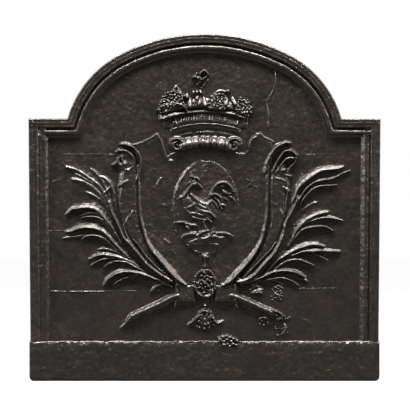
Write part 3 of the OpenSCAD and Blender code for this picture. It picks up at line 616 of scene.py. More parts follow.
palm_iron = cast_iron("palm_iron", rust=0.2, polish=0.75, seed=7)
LEFT_LEAVES = [
    ([(-189, 361), (-195, 381), (-201, 393), (-209, 405), (-217, 415), (-227, 423)], 7, 5, 3.2),
    ([(-189, 347), (-197, 369), (-209, 387), (-223, 399), (-237, 409), (-249, 418), (-263, 424), (-277, 427)],
     9, 5, 3.8),
    ([(-193, 355), (-209, 381), (-225, 395), (-241, 405), (-257, 413)], 6, 4, 3.2),
    ([(-193, 347), (-205, 367), (-217, 381), (-233, 393), (-249, 400), (-265, 403)], 8, 5, 3.6),
    ([(-177, 341), (-179, 365), (-185, 387), (-191, 397), (-199, 405), (-211, 409)], 6, 5, 4.0),
    ([(-191, 341), (-205, 359), (-217, 368), (-227, 373), (-237, 377)], 5, 3, 3.2),
    ([(-166, 274), (-177, 293), (-187, 309), (-197, 321), (-205, 331), (-213, 339), (-225, 345), (-241, 346),
     (-255, 344), (-265, 342), (-275, 333)], 12, 4, 8.2),
    ([(-203, 327), (-217, 334), (-233, 334), (-249, 330)], 3, 2, 6),
    ([(-177, 285), (-189, 305), (-197, 315), (-207, 324), (-219, 328), (-233, 328), (-245, 326)], 5, 4, 7),
    ([(-150, 244), (-162, 256), (-174, 268), (-184, 279), (-193, 289), (-203, 298), (-215, 303), (-229, 306),
     (-243, 306), (-255, 303), (-265, 299), (-275, 297)], 12, 5, 8.2),
    ([(-166, 252), (-178, 264), (-189, 275), (-201, 285), (-215, 290), (-227, 291), (-237, 289), (-245, 283)],
     5, 5, 7),
    ([(-235, 292), (-255, 289), (-273, 287), (-285, 284)], 3, 3, 4),
    ([(-129, 225), (-143, 237), (-157, 247), (-173, 255), (-185, 261), (-201, 264), (-213, 262)], 5, 3, 6),
    ([(-129, 224), (-143, 235), (-157, 241), (-173, 247), (-189, 250), (-203, 252), (-217, 249), (-229, 243)],
     11, 4, 8),
    ([(-180, 245), (-197, 244), (-209, 241), (-219, 236), (-227, 230)], 4, 4, 6),
    ([(-117, 215), (-125, 221), (-137, 227), (-151, 235), (-165, 239), (-179, 239), (-191, 235), (-201, 227)],
     5, 6, 8),
    ([(-65, 187), (-85, 199), (-101, 205), (-117, 211), (-133, 216), (-149, 218), (-161, 218), (-173, 215),
     (-185, 209), (-195, 201), (-201, 191)], 10, 6, 9.5),
    ([(-130, 212), (-145, 209), (-161, 205), (-173, 199), (-183, 191)], 4, 4, 6),
    ([(-75, 190), (-83, 193), (-93, 191), (-103, 183), (-107, 176)], 4, 4, 6),
    ([(-189, 387), (-196, 379), (-203, 371)], 3, 2, 6)]
LEFT_STEMS = [
    ([(-66, 199), (-89, 213), (-103, 223), (-117, 235), (-129, 249), (-139, 261), (-149, 273), (-161, 285),
     (-169, 303), (-177, 321), (-185, 337), (-190, 357)], 9.5, 5, 11.5),
    ([(-79, 215), (-93, 225), (-105, 237), (-115, 247), (-125, 261), (-134, 274), (-143, 283)], 6, 3.5, 10),
    ([(-143, 269), (-153, 285), (-159, 299), (-163, 313)], 5, 3.5, 9)]
branch("left_palm", (-300, -50, 160, 440), LEFT_LEAVES, LEFT_STEMS)

RIGHT_LEAVES = [
    ([(187, 355), (193, 369), (201, 381), (211, 391), (223, 398), (235, 401), (251, 403), (265, 409),
     (277, 415), (291, 420)], 5, 3, 8),
    ([(175, 355), (181, 369), (187, 383), (195, 393), (207, 403), (221, 413), (235, 420), (251, 422),
     (267, 424), (277, 427)], 12, 4, 7.8),
    ([(191, 351), (197, 363), (205, 373), (213, 381), (223, 387), (235, 390), (249, 391), (265, 392)], 4, 5, 8),
    ([(195, 339), (205, 348), (217, 355), (229, 357)], 3, 3, 2.2),
    ([(167, 269), (175, 281), (181, 295), (189, 307), (197, 315), (207, 323), (219, 329), (231, 334),
     (247, 336)], 12, 4, 7.8),
    ([(197, 311), (207, 317), (221, 322), (233, 325), (247, 326), (261, 324), (277, 320)], 5, 3, 7),
    ([(175, 277), (183, 289), (191, 299), (199, 304), (209, 307), (223, 309), (237, 309), (247, 306),
     (257, 300)], 4, 5, 8),
    ([(115, 207), (131, 225), (141, 236), (151, 244), (163, 251), (173, 257), (185, 263), (199, 268),
     (211, 271), (223, 272), (239, 268)], 11, 4, 7.8),
    ([(171, 249), (183, 253), (197, 258), (215, 259), (231, 260), (251, 259), (273, 259)], 7, 4, 8.5),
    ([(215, 255), (227, 251), (235, 247), (247, 241)], 3, 3, 6),
    ([(131, 211), (143, 225), (157, 236), (169, 241), (183, 243), (195, 241), (207, 236), (219, 231)], 5, 6, 8),
    ([(71, 193), (91, 198), (115, 207), (131, 215), (151, 220), (165, 220), (181, 217), (191, 213), (201, 207)],
     9, 5, 9.5),
    ([(115, 199), (131, 203), (151, 206), (167, 203), (179, 197), (189, 190)], 4, 4, 7),
    ([(115, 198), (131, 202), (145, 199), (157, 191)], 3, 3, 5),
    ([(187, 205), (199, 203), (207, 197)], 3, 3, 5),
    ([(71, 189), (87, 189), (101, 191)], 3, 3, 5),
    ([(95, 175), (109, 177), (115, 174)], 5, 4, 6)]
RIGHT_STEMS = [
    ([(67, 197), (83, 201), (97, 209), (111, 223), (123, 237), (135, 249), (145, 263), (153, 279), (159, 297),
     (163, 317), (173, 335), (181, 351), (187, 365)], 12, 5, 12),
    ([(85, 218), (96, 232), (106, 246), (116, 259), (126, 271)], 5, 3.5, 9),
    ([(76, 205), (90, 219), (104, 234), (119, 249), (133, 263), (142, 277)], 5, 3.5, 10.5)]
branch("right_palm", (55, 302, 165, 448), RIGHT_LEAVES, RIGHT_STEMS)

# ---- Shield --------------------------------------------------------------------------------
# The shield of the arms, dished in the middle, with a rolled lip down each side and two pointed
# horns that lean forward beside the crown. Carved on the pattern and cast with the plate.
SHIELD_T = 4
CROWN = Vector((2, 306))
RIGHT_EDGE = [(137, 476), (135, 434), (131, 410), (130, 361), (129, 331), (125, 303), (117, 273), (104, 251),
    (84, 227), (64, 203), (57, 190)]
RIGHT_HORN = [(70, 457), (86, 456), (91, 475), (103, 488), (111, 497), (119, 487)]
LEFT_HORN = [(-143, 469), (-129, 475), (-109, 484), (-95, 493), (-84, 471), (-78, 447), (-66, 457)]


def round_at(centre, a, b, angles):
    """Points on an ellipse of half widths a and b; angles run anticlockwise from the right."""
    return [(centre[0] + a * math.cos(t), centre[1] + b * math.sin(t)) for t in angles]


def swing(centre, r, start, end, n=8):
    """Points on an arc between two angles in degrees."""
    return round_at(centre, r, r, np.radians(np.linspace(start, end, n)))


def surface(field, base=ground):
    """The level of a relief anywhere on it, for what stands on it."""
    step = field.xs[1] - field.xs[0]
    h = np.maximum(soften(field.h, 0.9 / step), 0)

    def level(x, z):
        u = np.clip((np.asarray(x) - field.xs[0]) / step, 0, len(field.xs) - 1.001)
        v = np.clip((np.asarray(z) - field.zs[0]) / step, 0, len(field.zs) - 1.001)
        i, j = v.astype(int), u.astype(int)
        s, t = v - i, u - j
        low = h[i, j] * (1 - t) + h[i, j + 1] * t
        return base(x, z) + low * (1 - s) + (h[i + 1, j] * (1 - t) + h[i + 1, j + 1] * t) * s
    return level


shield = Field(-148, 142, 186, 500, 1.25)
arch = swing(CROWN, 164.7, 66, 114, 9)
outline = np.array(RIGHT_EDGE + [(-x, z) for x, z in RIGHT_EDGE[:0:-1]] + LEFT_HORN + arch[::-1] + RIGHT_HORN)
near, inside = edge_distance(shield.x, shield.z, outline)
dish = 1.4 * np.clip((near - 8) / 30, 0, 1) ** 0.7
lean = 5.5 * np.clip((shield.z - 425) / 65, 0, 1) ** 1.3 * np.clip((abs(shield.x) - 70) / 25, 0, 1)
shield.h = np.where(inside, SHIELD_T * np.clip(near / 1.6, 0.4, 1) - dish + lean, LOW)
LEFT_LIP = [(-37, 191), (-48, 197), (-60, 207), (-72, 220), (-84, 234), (-95, 247), (-106, 260), (-113, 273),
    (-119, 289), (-125, 311), (-129, 331), (-131, 361), (-132, 401), (-134, 430)]
RIGHT_LIP = [(35, 190), (45, 194), (56, 202), (68, 214), (80, 227), (91, 240), (101, 254), (111, 271),
    (117, 287), (122, 311), (125, 331), (126, 361), (126, 401), (128, 428)]
LIP_IN, LIP_RISE = [8, 15, 15, 12, 9, 8, 8], [9, 12.5, 13, 11, 9, 7.5, 7]
shield.line(LEFT_LIP, 3, LIP_IN, LIP_RISE, 0.6, -0.1)
shield.line(RIGHT_LIP, LIP_IN, 3, LIP_RISE, -0.1, 0.6)
HEM_L = [(-143, 471), (-129, 475), (-109, 484), (-95, 493), (-91, 487), (-86, 479), (-83, 469), (-79, 457),
    (-77, 447)]
HEM_R = [(86, 456), (89, 465), (91, 475), (97, 484), (105, 489), (111, 495), (119, 487), (127, 483), (137, 478)]
shield.lines((HEM_L, 3, 5, [10, 11, 12.5, 13, 12, 10], 0.6, 0.1), (HEM_R, 3, 2.5, [9, 11, 12, 12.5, 11.5, 11]),
    (HEM_R[1:5], 5, 4.5, [12, 13.5, 13.5, 12]))
shield.dome(-67, 440, 6, 5, 8).dome(85, 457, 4, 4, 9).dome(105, 493, 4, 4, 13)
for a, b, rise in (((-95, 391), (-87, 406), 6), ((-110, 312), (-101, 303), 5), ((-104, 300), (-94, 292), 5),
                   ((85, 402), (95, 396), 5), ((86, 388), (98, 400), 5.2), ((92, 392), (104, 386), 4.8),
                   ((-84, 352), (-72, 349), 4.6), ((-80, 283), (-70, 274), 5.4), ((-66, 262), (-58, 252), 5.4)):
    shield.line([a, b], 2, 2, rise)
shield.rough((0.35, 30, 51), (0.22, 9, 52))
shield.h += (shield.h > 4.5) * (shield.z < 300) * 0.6 * lumps(shield.x, shield.z, 4, 53)
on_shield = surface(shield)
shield_iron = cast_iron("shield_iron", rust=0.95, polish=0.6, grit=0.7, seed=11)
carved("shield", shield, shield_iron, fillet=1.0)

# ---- Strap scrolls -------------------------------------------------------------------------
# The straps that the shield is mounted on. Each runs up beside the lip, widens, and rolls over at
# its head into an ear with two or three turns. Carved and cast with the rest.
STRAP_TOP = 5.5


def strap(field, stations):
    """A strap that is nearly flat on top, from [x, z, half width, rise] along its middle."""
    field.ridge([[x, z, 1.15 * w, 1.15 * w, 1.3 * rise] for x, z, w, rise in stations], 1.0, 1.0)
    field.h = np.where(field.h > STRAP_TOP, STRAP_TOP + 0.25 * (field.h - STRAP_TOP), field.h)


left = Field(-212, -60, 195, 485)
strap(left, [(-70, 205, 3, 4), (-78, 217, 5, 4.5), (-103, 241, 7, 5), (-124, 271, 9.5, 5.5), (-141, 300, 15, 6),
    (-148, 325, 18, 6.5), (-152, 361, 19, 6.5), (-152, 390, 18, 6.5), (-150, 410, 16, 6.5), (-147, 432, 13, 7)])
EAR_L = (-165, 435)
left.dome(-150, 436, 21, 36, 6.5, 8)
left.lines(([(-139, 395), (-131, 412)] + swing(EAR_L, 39, -20, 93), 5.5, 3, [7, 9, 12, 13, 13, 11], 0.3, 0.6),
    (swing(EAR_L, 26, -10, 105), 7, 4, [8, 10, 12, 10], 0.3, 0.6),
    ([(-172, 445), (-173, 437), (-163, 427), (-159, 421)], 2.5, 2.5, 9),
    ([(-173, 439), (-178, 434), (-184, 431)], 3, 3, [8, 6]), ([(-157, 421), (-150, 423), (-143, 427)], 4, 3, 9),
    ([(-169, 389), (-162, 395), (-154, 400)], 4, 3, 9.5),
    ([(-162, 392), (-166, 376), (-170, 356), (-167, 335)], 2.5, 2.5, [8, 7.5, 6]))
left.dome(-159, 434, 7, 6, 11).dome(-152, 421, 6, 5, 10.5)
left.lines(([(-143, 340), (-146, 334), (-149, 326)], 3, 3, [8, 10, 8.5]),
    ([(-150, 332), (-154, 323), (-157, 314)], 3, 3, [8, 10.5, 8.5]), ([(-130, 283), (-128, 275)], 3, 3, 9))
left.groove(swing(EAR_L, 33.5, -10, 85), 1.5, 2.0)
strap_iron = cast_iron("strap_iron", rust=0.35, polish=0.75, seed=13)
carved("left_scroll", left, strap_iron)

right = Field(58, 200, 195, 488)
strap(right, [(70, 203, 3, 4), (86, 221, 5, 4.5), (112, 250, 8, 5), (133, 281, 12, 5.5), (143, 310, 14, 6),
    (146, 331, 15, 6.5), (146, 361, 16, 6.5), (147, 390, 17, 6.5), (149, 415, 16, 6.5)])
right.lines(([(123, 417), (127, 437), (133, 451), (141, 463), (151, 471), (163, 476), (171, 475)],
    [11, 11, 10, 8, 5, 4, 3.5], 3, [8, 10, 12.5, 13, 12, 9], 0.1, 0.6),
    ([(135, 417), (143, 433), (151, 447), (159, 457), (169, 460), (177, 457), (183, 451)], 5, 3,
    [8, 11, 13, 13.5, 13, 12], 0.4, 0.6), ([(143, 415), (149, 425), (157, 437), (167, 445), (179, 445)], 4, 4,
    [8, 10, 11.5, 11]), ([(183, 451), (184, 444), (179, 435), (171, 427), (165, 415)], 3, 3, [11, 9, 8]),
    ([(143, 405), (152, 403), (161, 399)], 3.5, 3, 9), ([(163, 411), (173, 409)], 3, 3, 8),
    ([(157, 387), (163, 384), (169, 379)], 3, 3, 8.5),
    ([(163, 405), (166, 385), (164, 360), (161, 335)], 2.5, 2.5, [8, 8, 7, 6]),
    ([(150, 344), (154, 336), (158, 326)], 3, 3, [8, 10, 8]))
right.dome(157, 421, 9, 6, 13, 20)
carved("right_scroll", right, strap_iron)

# ---- Oval and rooster ----------------------------------------------------------------------
# The oval boss that carries the charge: a rooster walking to the left over broken ground, its
# tail in one high arch. The boss is a low cushion with a worn edge; all in the one casting.
OVAL, OVAL_A, OVAL_B = (3, 346), 66, 95
oval = Field(-66, 72, 248, 444)
across, up = (oval.x - OVAL[0]) / OVAL_A, (oval.z - OVAL[1]) / OVAL_B
u = np.hypot(across, up)
edge = (1 - u) * 75 / (1 + 5 * np.clip(across + 0.6 * up, 0, 1))
oval.h = np.where(u < 1, 2.9 * np.clip(edge / 9, 0, 1) ** 0.7 + 0.9 * (1 - u), LOW)
oval.line(round_at(OVAL, 61, 90, np.radians(np.arange(108, 192, 7))), 4, 6, [1.5, 3.6, 4.2, 3.8, 3.2, 1.5])
oval.line(round_at(OVAL, 63, 92, np.radians(np.arange(196, 300, 8))), 2, 2.5, [1.5, 3.4, 3.6, 3.4, 2])
oval.rough((0.3, 8, 61), (0.3, 20, 62))
oval.h += np.clip((u - 0.86) * 12, 0, 1) * 0.7 * lumps(oval.x, oval.z, 4.5, 63)
on_oval = surface(oval, on_shield)
carved("oval_frame", oval, shield_iron, base=on_shield, fillet=1.0)

bird = Field(-64, 74, 296, 416, 0.8)
bird.dome(-6, 345, 33, 21, 4.5, -8)
bird.dome(-30, 356, 13, 18, 4.5, 25)
bird.lines(([(-21, 399), (-25, 392), (-31, 384), (-36, 376), (-41, 369), (-46, 366)], 2.5, 4.5,
    [5, 6.5, 6.5, 6, 4]), ([(-17, 397), (-11, 393), (-5, 386)], 2, 3.5, [5, 6, 4]),
    ([(-24, 391), (-17, 394)], 3, 3, 5.5), ([(-27, 373), (-19, 365), (-9, 357), (3, 353), (11, 357)], 3.5, 3.5,
    [5, 6.5, 6.5, 6.5, 5]), ([(4, 349), (8, 353), (13, 359)], 3.5, 3.5, 7),
    ([(11, 366), (12, 372), (15, 379), (21, 389), (29, 395), (37, 397), (45, 395), (53, 388), (58, 378)], 3.5,
    3.5, [4.5, 6, 6.5, 7, 7, 6.5, 5]), ([(13, 371), (20, 373), (28, 370), (32, 366)], 3, 2.5, [6, 6, 5, 3]),
    ([(37, 380), (41, 377), (45, 375)], 3, 3, 5.5), ([(40, 365), (45, 362)], 2.5, 2.5, 5),
    ([(31, 350), (36, 352), (41, 350)], 2.5, 2.5, 5), ([(22, 384), (30, 388), (38, 389)], 2, 2, 4),
    ([(20, 366), (27, 360), (32, 352), (34, 343)], 2, 2, 4), ([(14, 362), (22, 354), (27, 345)], 2, 2, 4),
    ([(-33, 346), (-27, 349), (-21, 353)], 3, 3, 7), ([(-9, 352), (-3, 347), (3, 345)], 2.5, 3, 6.5),
    ([(-4, 340), (6, 338), (14, 334), (21, 327)], 2.5, 3.5, 6.5),
    ([(-26, 336), (-12, 333), (-4, 330)], 2, 3, 5.5), ([(4, 326), (10, 321), (13, 317)], 3, 3, 5.5),
    ([(-38, 345), (-30, 335), (-20, 327), (-6, 322)], 2, 3, 4.5),
    ([(-58, 316), (-50, 317), (-42, 317), (-30, 312), (-17, 311)], 3, 4, [4.5, 6.5, 6.5, 4, 4]),
    ([(-36, 308), (-32, 304)], 3, 3, 5), ([(-3, 324), (0, 312), (3, 302)], 2.5, 2.5, 4),
    ([(-29, 407), (-26, 409), (-23, 407)], 3, 3, 7), ([(-20, 405), (-15, 406), (-11, 401)], 2, 2, 4.5),
    ([(-27, 397), (-33, 394), (-36, 391)], 2, 2, 4), ([(38, 376), (44, 374), (52, 374)], 2.5, 2.5, 5.5),
    ([(-24, 326), (-9, 324), (6, 321)], 2, 2, [4, 5, 4]),
    ([(-28, 404), (-24, 397), (-20, 392)], 2, 2.5, [5, 6, 5]), ([(-10, 331), (2, 331), (12, 326)], 1.8, 2, 5),
    ([(50, 368), (56, 366), (60, 360)], 2, 2, 3.5))
bird.rough((0.9, 4, 65), above=3)
bird.groove([(-38, 331), (-22, 322), (-4, 325)], 2.0, 1.2)
bird_iron = cast_iron("bird_iron", rust=0.15, polish=0.9, seed=17)
carved("rooster", bird, bird_iron, base=on_oval, spread=0.7, fillet=0.9)

turf = Field(-62, 64, 252, 306, 0.8)
turf.dome(2, 285, 50, 13, 3)
turf.lines(([(-41, 289), (-33, 293), (-23, 294), (-15, 290)], 3, 3, [4, 6, 5]),
    ([(-13, 291), (-5, 297), (7, 300)], 3, 3, [4, 6, 4]), ([(-23, 294), (-18, 295)], 3, 3, 6.5),
    ([(-29, 276), (-21, 281), (-15, 283)], 2.5, 3, 4.5),
    ([(-5, 284), (3, 285), (11, 289), (17, 297)], 3.5, 3.5, 6.5),
    ([(11, 288), (22, 289), (30, 286), (37, 287)], 3, 3, [6, 5.5, 4]),
    ([(23, 295), (35, 296), (47, 294), (56, 289)], 2.5, 3, [4, 5, 6, 6]), ([(15, 300), (18, 305)], 3, 3, 6),
    ([(-45, 280), (-52, 291), (-57, 300)], 2, 2, 2.5), ([(-25, 274), (0, 275), (25, 273)], 2, 5, 2.5))
turf.rough((0.9, 4, 66), above=3)
turf.groove([(-40, 267), (-20, 264), (0, 263), (20, 264), (38, 268)], 2.5, 2.0)
carved("mound", turf, bird_iron, base=on_oval, spread=0.7, fillet=0.9)

# ---- Crown ---------------------------------------------------------------------------------
# A marquess's coronet: a roll of uneven lobes between two volutes, a row of beads, a plain band,
# a pleated cap under a rolled rim, then leaves and heaped pearls, and a small cross above. All
# was carved on the pattern or set on it in rows of small turned pieces, and cast with the plate.


def bow(r, start, end, n=12):
    """Points of a curve of the crown; degrees are measured from its top, to the right."""
    return swing(CROWN, r, 90 - start, 90 - end, n)


def new_tree(name, source, result, **inputs):
    """A tree of nodes that makes `result` of `source`, with named inputs, and the inputs' sockets."""
    tree = bpy.data.node_groups.new(name, "GeometryNodeTree")
    for label, kind in ((source, "Geometry"), *inputs.items()):
        tree.interface.new_socket(label, in_out="INPUT", socket_type="NodeSocket" + kind)
    tree.interface.new_socket(result, in_out="OUTPUT", socket_type="NodeSocketGeometry")
    return tree, tree.nodes.new("NodeGroupInput").outputs


def set_out(tree, given, points, **how):
    """Ends a tree: its piece on each point, in sizes from Smallest to 1, made real and finished."""
    size = node(tree, "FunctionNodeRandomValue", 1, {2: given["Smallest"], 3: 1.0, "Seed": given["Seed"]},
                data_type="FLOAT")
    piece = node(tree, "GeometryNodeObjectInfo", "Geometry", {"Object": given["Piece"]})
    placed = node(tree, "GeometryNodeInstanceOnPoints", 0,
        {"Points": points, "Instance": piece, "Scale": size, **how})
    real = node(tree, "GeometryNodeRealizeInstances", 0, {"Geometry": placed})
    done = node(tree, "GeometryNodeSetMaterial", 0, {"Geometry": real, "Material": given["Finish"]})
    tree.links.new(done, tree.nodes.new("NodeGroupOutput").inputs[0])
    return tree


def row_tree():
    """Nodes that set a piece along a line: count, smallest size and seed are its inputs."""
    tree, given = new_tree("row_along_a_line", "Line", "Row", Piece="Object", Count="Int", Smallest="Float",
                           Seed="Int", Finish="Material")
    line = node(tree, "GeometryNodeMeshToCurve", 0, {"Mesh": given["Line"]})
    line = node(tree, "GeometryNodeResampleCurve", 0, {"Curve": line, "Count": given["Count"]})
    turn = node(tree, "FunctionNodeAlignEulerToVector", 0, {"Vector": node(tree, "GeometryNodeInputTangent")},
                axis="X", pivot_axis="Y")
    return set_out(tree, given, line, Rotation=turn)


ROW = row_tree()
BURIED = 3.0  # how far a small piece of a row goes into what it stands on, in mm


def pip(half_x, depth, half_z, rounds, sides):
    """A small closed cushion, round in front and cut off behind, for a row; sizes in mm."""
    points = [(0, -depth, 0)]
    for k in range(1, rounds + 1):
        a = 0.5 * math.pi * k / rounds
        points += [(half_x * math.sin(a) * math.cos(t), -depth * math.cos(a),
            half_z * math.sin(a) * math.sin(t)) for t in np.linspace(0, 2 * math.pi, sides, endpoint=False)]
    points += [(x, BURIED, z) for x, _, z in points[-sides:]]
    faces = [(0, 1 + i, 1 + (i + 1) % sides) for i in range(sides)]
    for k in range(rounds):
        a, b = 1 + k * sides, 1 + (k + 1) * sides
        faces += [(a + i, b + i, b + (i + 1) % sides, a + (i + 1) % sides) for i in range(sides)]
    faces.append(tuple(range(len(points) - sides, len(points))))
    return bpy.data.objects.new("pip", outward(closed_mesh("pip", points, faces)))


def grown(tree, mesh, **values):
    """What a tree of nodes makes of a mesh with the given inputs: its points in mm, and its faces."""
    holder = bpy.data.objects.new("holder", mesh)
    for used in (holder, values["Piece"]):
        bpy.context.scene.collection.objects.link(used)
    modifier = holder.modifiers.new("grown", "NODES")
    modifier.node_group = tree
    for socket in tree.interface.items_tree:
        if socket.in_out == "INPUT" and socket.name in values:
            modifier[socket.identifier] = values[socket.name]
    bpy.context.view_layer.update()
    made = bpy.data.meshes.new_from_object(holder.evaluated_get(bpy.context.evaluated_depsgraph_get()))
    holder.modifiers.remove(modifier)
    for used in (holder, values["Piece"]):
        bpy.data.objects.remove(used)
    return [v.co / MM for v in made.vertices], [list(p.vertices) for p in made.polygons]


def row(points, lift, piece, count, seed, finish):
    """The mesh parts, in mm, of a row of a piece along points that stand `lift` off the ground."""
    mesh = bpy.data.meshes.new("line")
    mesh.from_pydata([(x * MM, (FACE - ground(x, z) - lift) * MM, z * MM) for x, z in points],
                     [(i, i + 1) for i in range(len(points) - 1)], [])
    return grown(ROW, mesh, Piece=piece, Count=count, Smallest=0.0, Seed=seed, Finish=finish)


crown_iron = cast_iron("crown_iron", rust=0.3, polish=0.9, grit=0.5, seed=19)

roll = Field(-58, 64, 440, 500, 0.8)
roll.line(bow(168.5, -15.5, 15.5, 20), [14, 15, 15, 14, 15, 16, 14], 14, [12, 13.2, 14, 14.3, 14, 14.5, 12.5],
    1.0, 0.98)
roll.rough((1.1, 12, 71), above=2)
CUTS = [(-13.6, 2.4, 3), (-8.6, 2.6, 4), (-3.7, 2.4, 7), (-0.2, 1.6, 4), (3.4, 2.4, 7), (8.0, 2.6, 4),
    (13.6, 2.2, 3)]
for angle, wide, cut in CUTS:
    roll.groove([bow(154, angle, angle, 1)[0], bow(184, angle, angle, 1)[0]], wide, cut)
carved("gadroon_roll", roll, crown_iron, spread=0.7, grain=0.25)


def volute(name, cx, cz, way):
    """A small scroll end: one and a half turns round a button."""
    f = Field(cx - 22, cx + 22, cz - 22, cz + 22, 0.8)
    f.dome(cx, cz, 18, 18, 7)
    coil = [(cx + way * r * math.cos(a), cz + r * math.sin(a))
            for a, r in zip(np.linspace(0.6, 8.2, 26), np.linspace(13.5, 5.5, 26))]
    f.line(coil, 3.4, 3.4, [10, 13.5, 13, 11.5, 10.5])
    f.dome(cx, cz, 4.5, 4.5, 12)
    f.rough((1.1, 4.2, 73), above=3)
    carved(name, f, crown_iron, spread=0.6)


volute("left_volute", -54.5, 471.5, -1)
volute("right_volute", 58.5, 471.5, 1)

bead = row(bow(191.5, -14.5, -0.5, 30), 0.4, pip(2.2, 3.4, 2.3, 4, 10), 11, 3, crown_iron)
worn_row = Field(-2, 60, 476, 508, 0.8)
worn_row.line(bow(191.5, -0.5, 16.0, 12), 2.2, 3.2, [1.3, 1.1, 1.0, 1.0, 1.2, 1.6])
carved("crown_beads", worn_row, crown_iron, bead)

band = Field(-76, 80, 474, 520, 0.9)
band.line(bow(203.4, -18.6, 18.6, 20), 5.2, 5.2, 4.2, 1.0, 1.0)
band.h = np.where(band.h > 2.4, 2.4 + 0.2 * (band.h - 2.4), band.h) + 0.35 * lumps(band.x, band.z, 2.6, 75)
band.line(bow(208.0, -18.8, 18.8, 20), 2.2, 2.0, 6.0)
carved("crown_band", band, crown_iron)

cap = Field(-82, 86, 484, 540, 0.9)
cap.line(bow(213.5, -18.7, 18.7, 20), 17, 5, 3.6, 0.5, 0.9)


def pleat(half_x, low, high, length):
    """A small closed fold, proud by `low` at its lower end and by `high` at its upper end."""
    sides = 6
    ring = [(half_x * math.cos(t), math.sin(t)) for t in np.linspace(0, math.pi, sides + 1)]
    points = [(x * (1 - 0.3 * k / 4), -rise * lift, -length / 2 + length * k / 4)
              for k, rise in enumerate(np.linspace(low, high, 5)) for x, lift in ring]
    points += [(x, BURIED, z) for x, _, z in points]
    n, size = sides + 1, 5 * (sides + 1)
    faces = [(k * n + i, k * n + i + 1, (k + 1) * n + i + 1,
        (k + 1) * n + i) for k in range(4) for i in range(sides)]
    faces += [tuple(size + v for v in reversed(face)) for face in faces]
    rim = list(range(sides)) + [k * n + sides for k in range(4)]
    rim += [4 * n + i for i in range(sides, 0, -1)] + [k * n for k in range(4, 0, -1)]
    faces += [(a, a + size, b + size, b) for a, b in zip(rim, rim[1:] + rim[:1])]
    return bpy.data.objects.new("pleat", outward(closed_mesh("pleat", points, faces)))


pleats = row(bow(220.5, -16.8, 16.8, 40), 1.0, pleat(1.9, 10.4, 0.8, 16.0), 26, 5, crown_iron)
carved("crown_cap", cap, crown_iron, pleats)

rim = Field(-92, 96, 494, 554, 0.9)
rim.line(bow(232.5, -20.8, 19.5, 24), [11, 11, 5, 3.5, 3.5, 4.5, 8, 6], 3.6,
    [8.5, 9.5, 7.2, 5.4, 5.0, 5.6, 7.6, 7], 0.2, 0.5)
rim.h *= np.where(rim.h > 0, 0.93 + 0.12 * lumps(rim.x, rim.z, 7, 71), 1)
carved("crown_rim", rim, crown_iron)

# Each fleuron is a low clump of leaves cut up into rows of small round knobs.
fleurons = Field(-110, 118, 516, 598, 0.8)
fleurons.line(bow(244, -19, 19, 20), 9, 5, 5.2, 0.9, 0.9)
draw = np.random.default_rng(7)


KNOB_GAP, KNOB_HIGH, KNOB_TRIES = 4.7, 10.4, 400


def fleuron(*rows):
    """A clump over rows [radius, from degrees, to degrees] about the crown's centre, its knobs
    thrown at random, none nearer to another than the gap between knobs."""
    rows = np.array(rows, float)
    for r, start, end in rows[:-1]:
        fleurons.line(bow(r, start + 1.2, end - 1.2, 6), 5, 5, 6.4, 0.95, 0.95, 2.0)
    placed = []
    for _ in range(KNOB_TRIES):
        r = draw.uniform(rows[0, 0], rows[-1, 0])
        start, end = np.interp(r, rows[:, 0], rows[:, 1]), np.interp(r, rows[:, 0], rows[:, 2])
        a = draw.uniform(start, end)
        x, z = bow(r, a, a, 1)[0]
        if all(math.hypot(x - px, z - pz) > KNOB_GAP for px, pz in placed):
            placed.append((x, z))
            fleurons.dome(x, z, draw.uniform(2.4, 3.4), draw.uniform(2.2, 2.9),
                KNOB_HIGH - 1.0 + draw.uniform(-1.2, 1.8), draw.uniform(-40, 40), soft=0.3, drop=3.6)


fleuron((245, -21.5, -9), (252, -22, -9.5), (259, -21.5, -9.5), (266, -20, -9), (273, -18.5, -9.5),
    (281, -16.5, -11))
fleuron((239, 1, 9.5), (247, 0.8, 9.5), (254, 1.5, 9), (261, 2, 9.5), (269, 4, 9))
fleuron((240, 14.5, 21), (248, 14, 22), (255, 14.5, 22), (262, 14.5, 20), (269, 15, 19))
fleurons.line([(-62, 546), (-57, 553), (-47, 552), (-39, 546), (-35, 540)], 4, 4, [10, 12.5, 12.5, 11.5, 8])
fleurons.dome(-68, 551, 7, 5.5, 13)
fleurons.lines(([(-66, 575), (-61, 583), (-57, 589)], 2.6, 2.6, [5, 4.5, 3]),
    ([(-56, 588), (-50, 581), (-44, 573)], 2.0, 2.0, [2.4, 2.2, 3]),
    ([(-94, 541), (-88, 547), (-81, 549)], 3, 4, [7, 12, 11]),
    ([(24, 577), (33, 580), (41, 578)], 2.5, 3, [1.6, 2.6, 3]))
fleurons.dome(47, 579, 4.5, 4, 8, drop=4)
carved("crown_leaves", fleurons, crown_iron, spread=0.5, fillet=0.8)

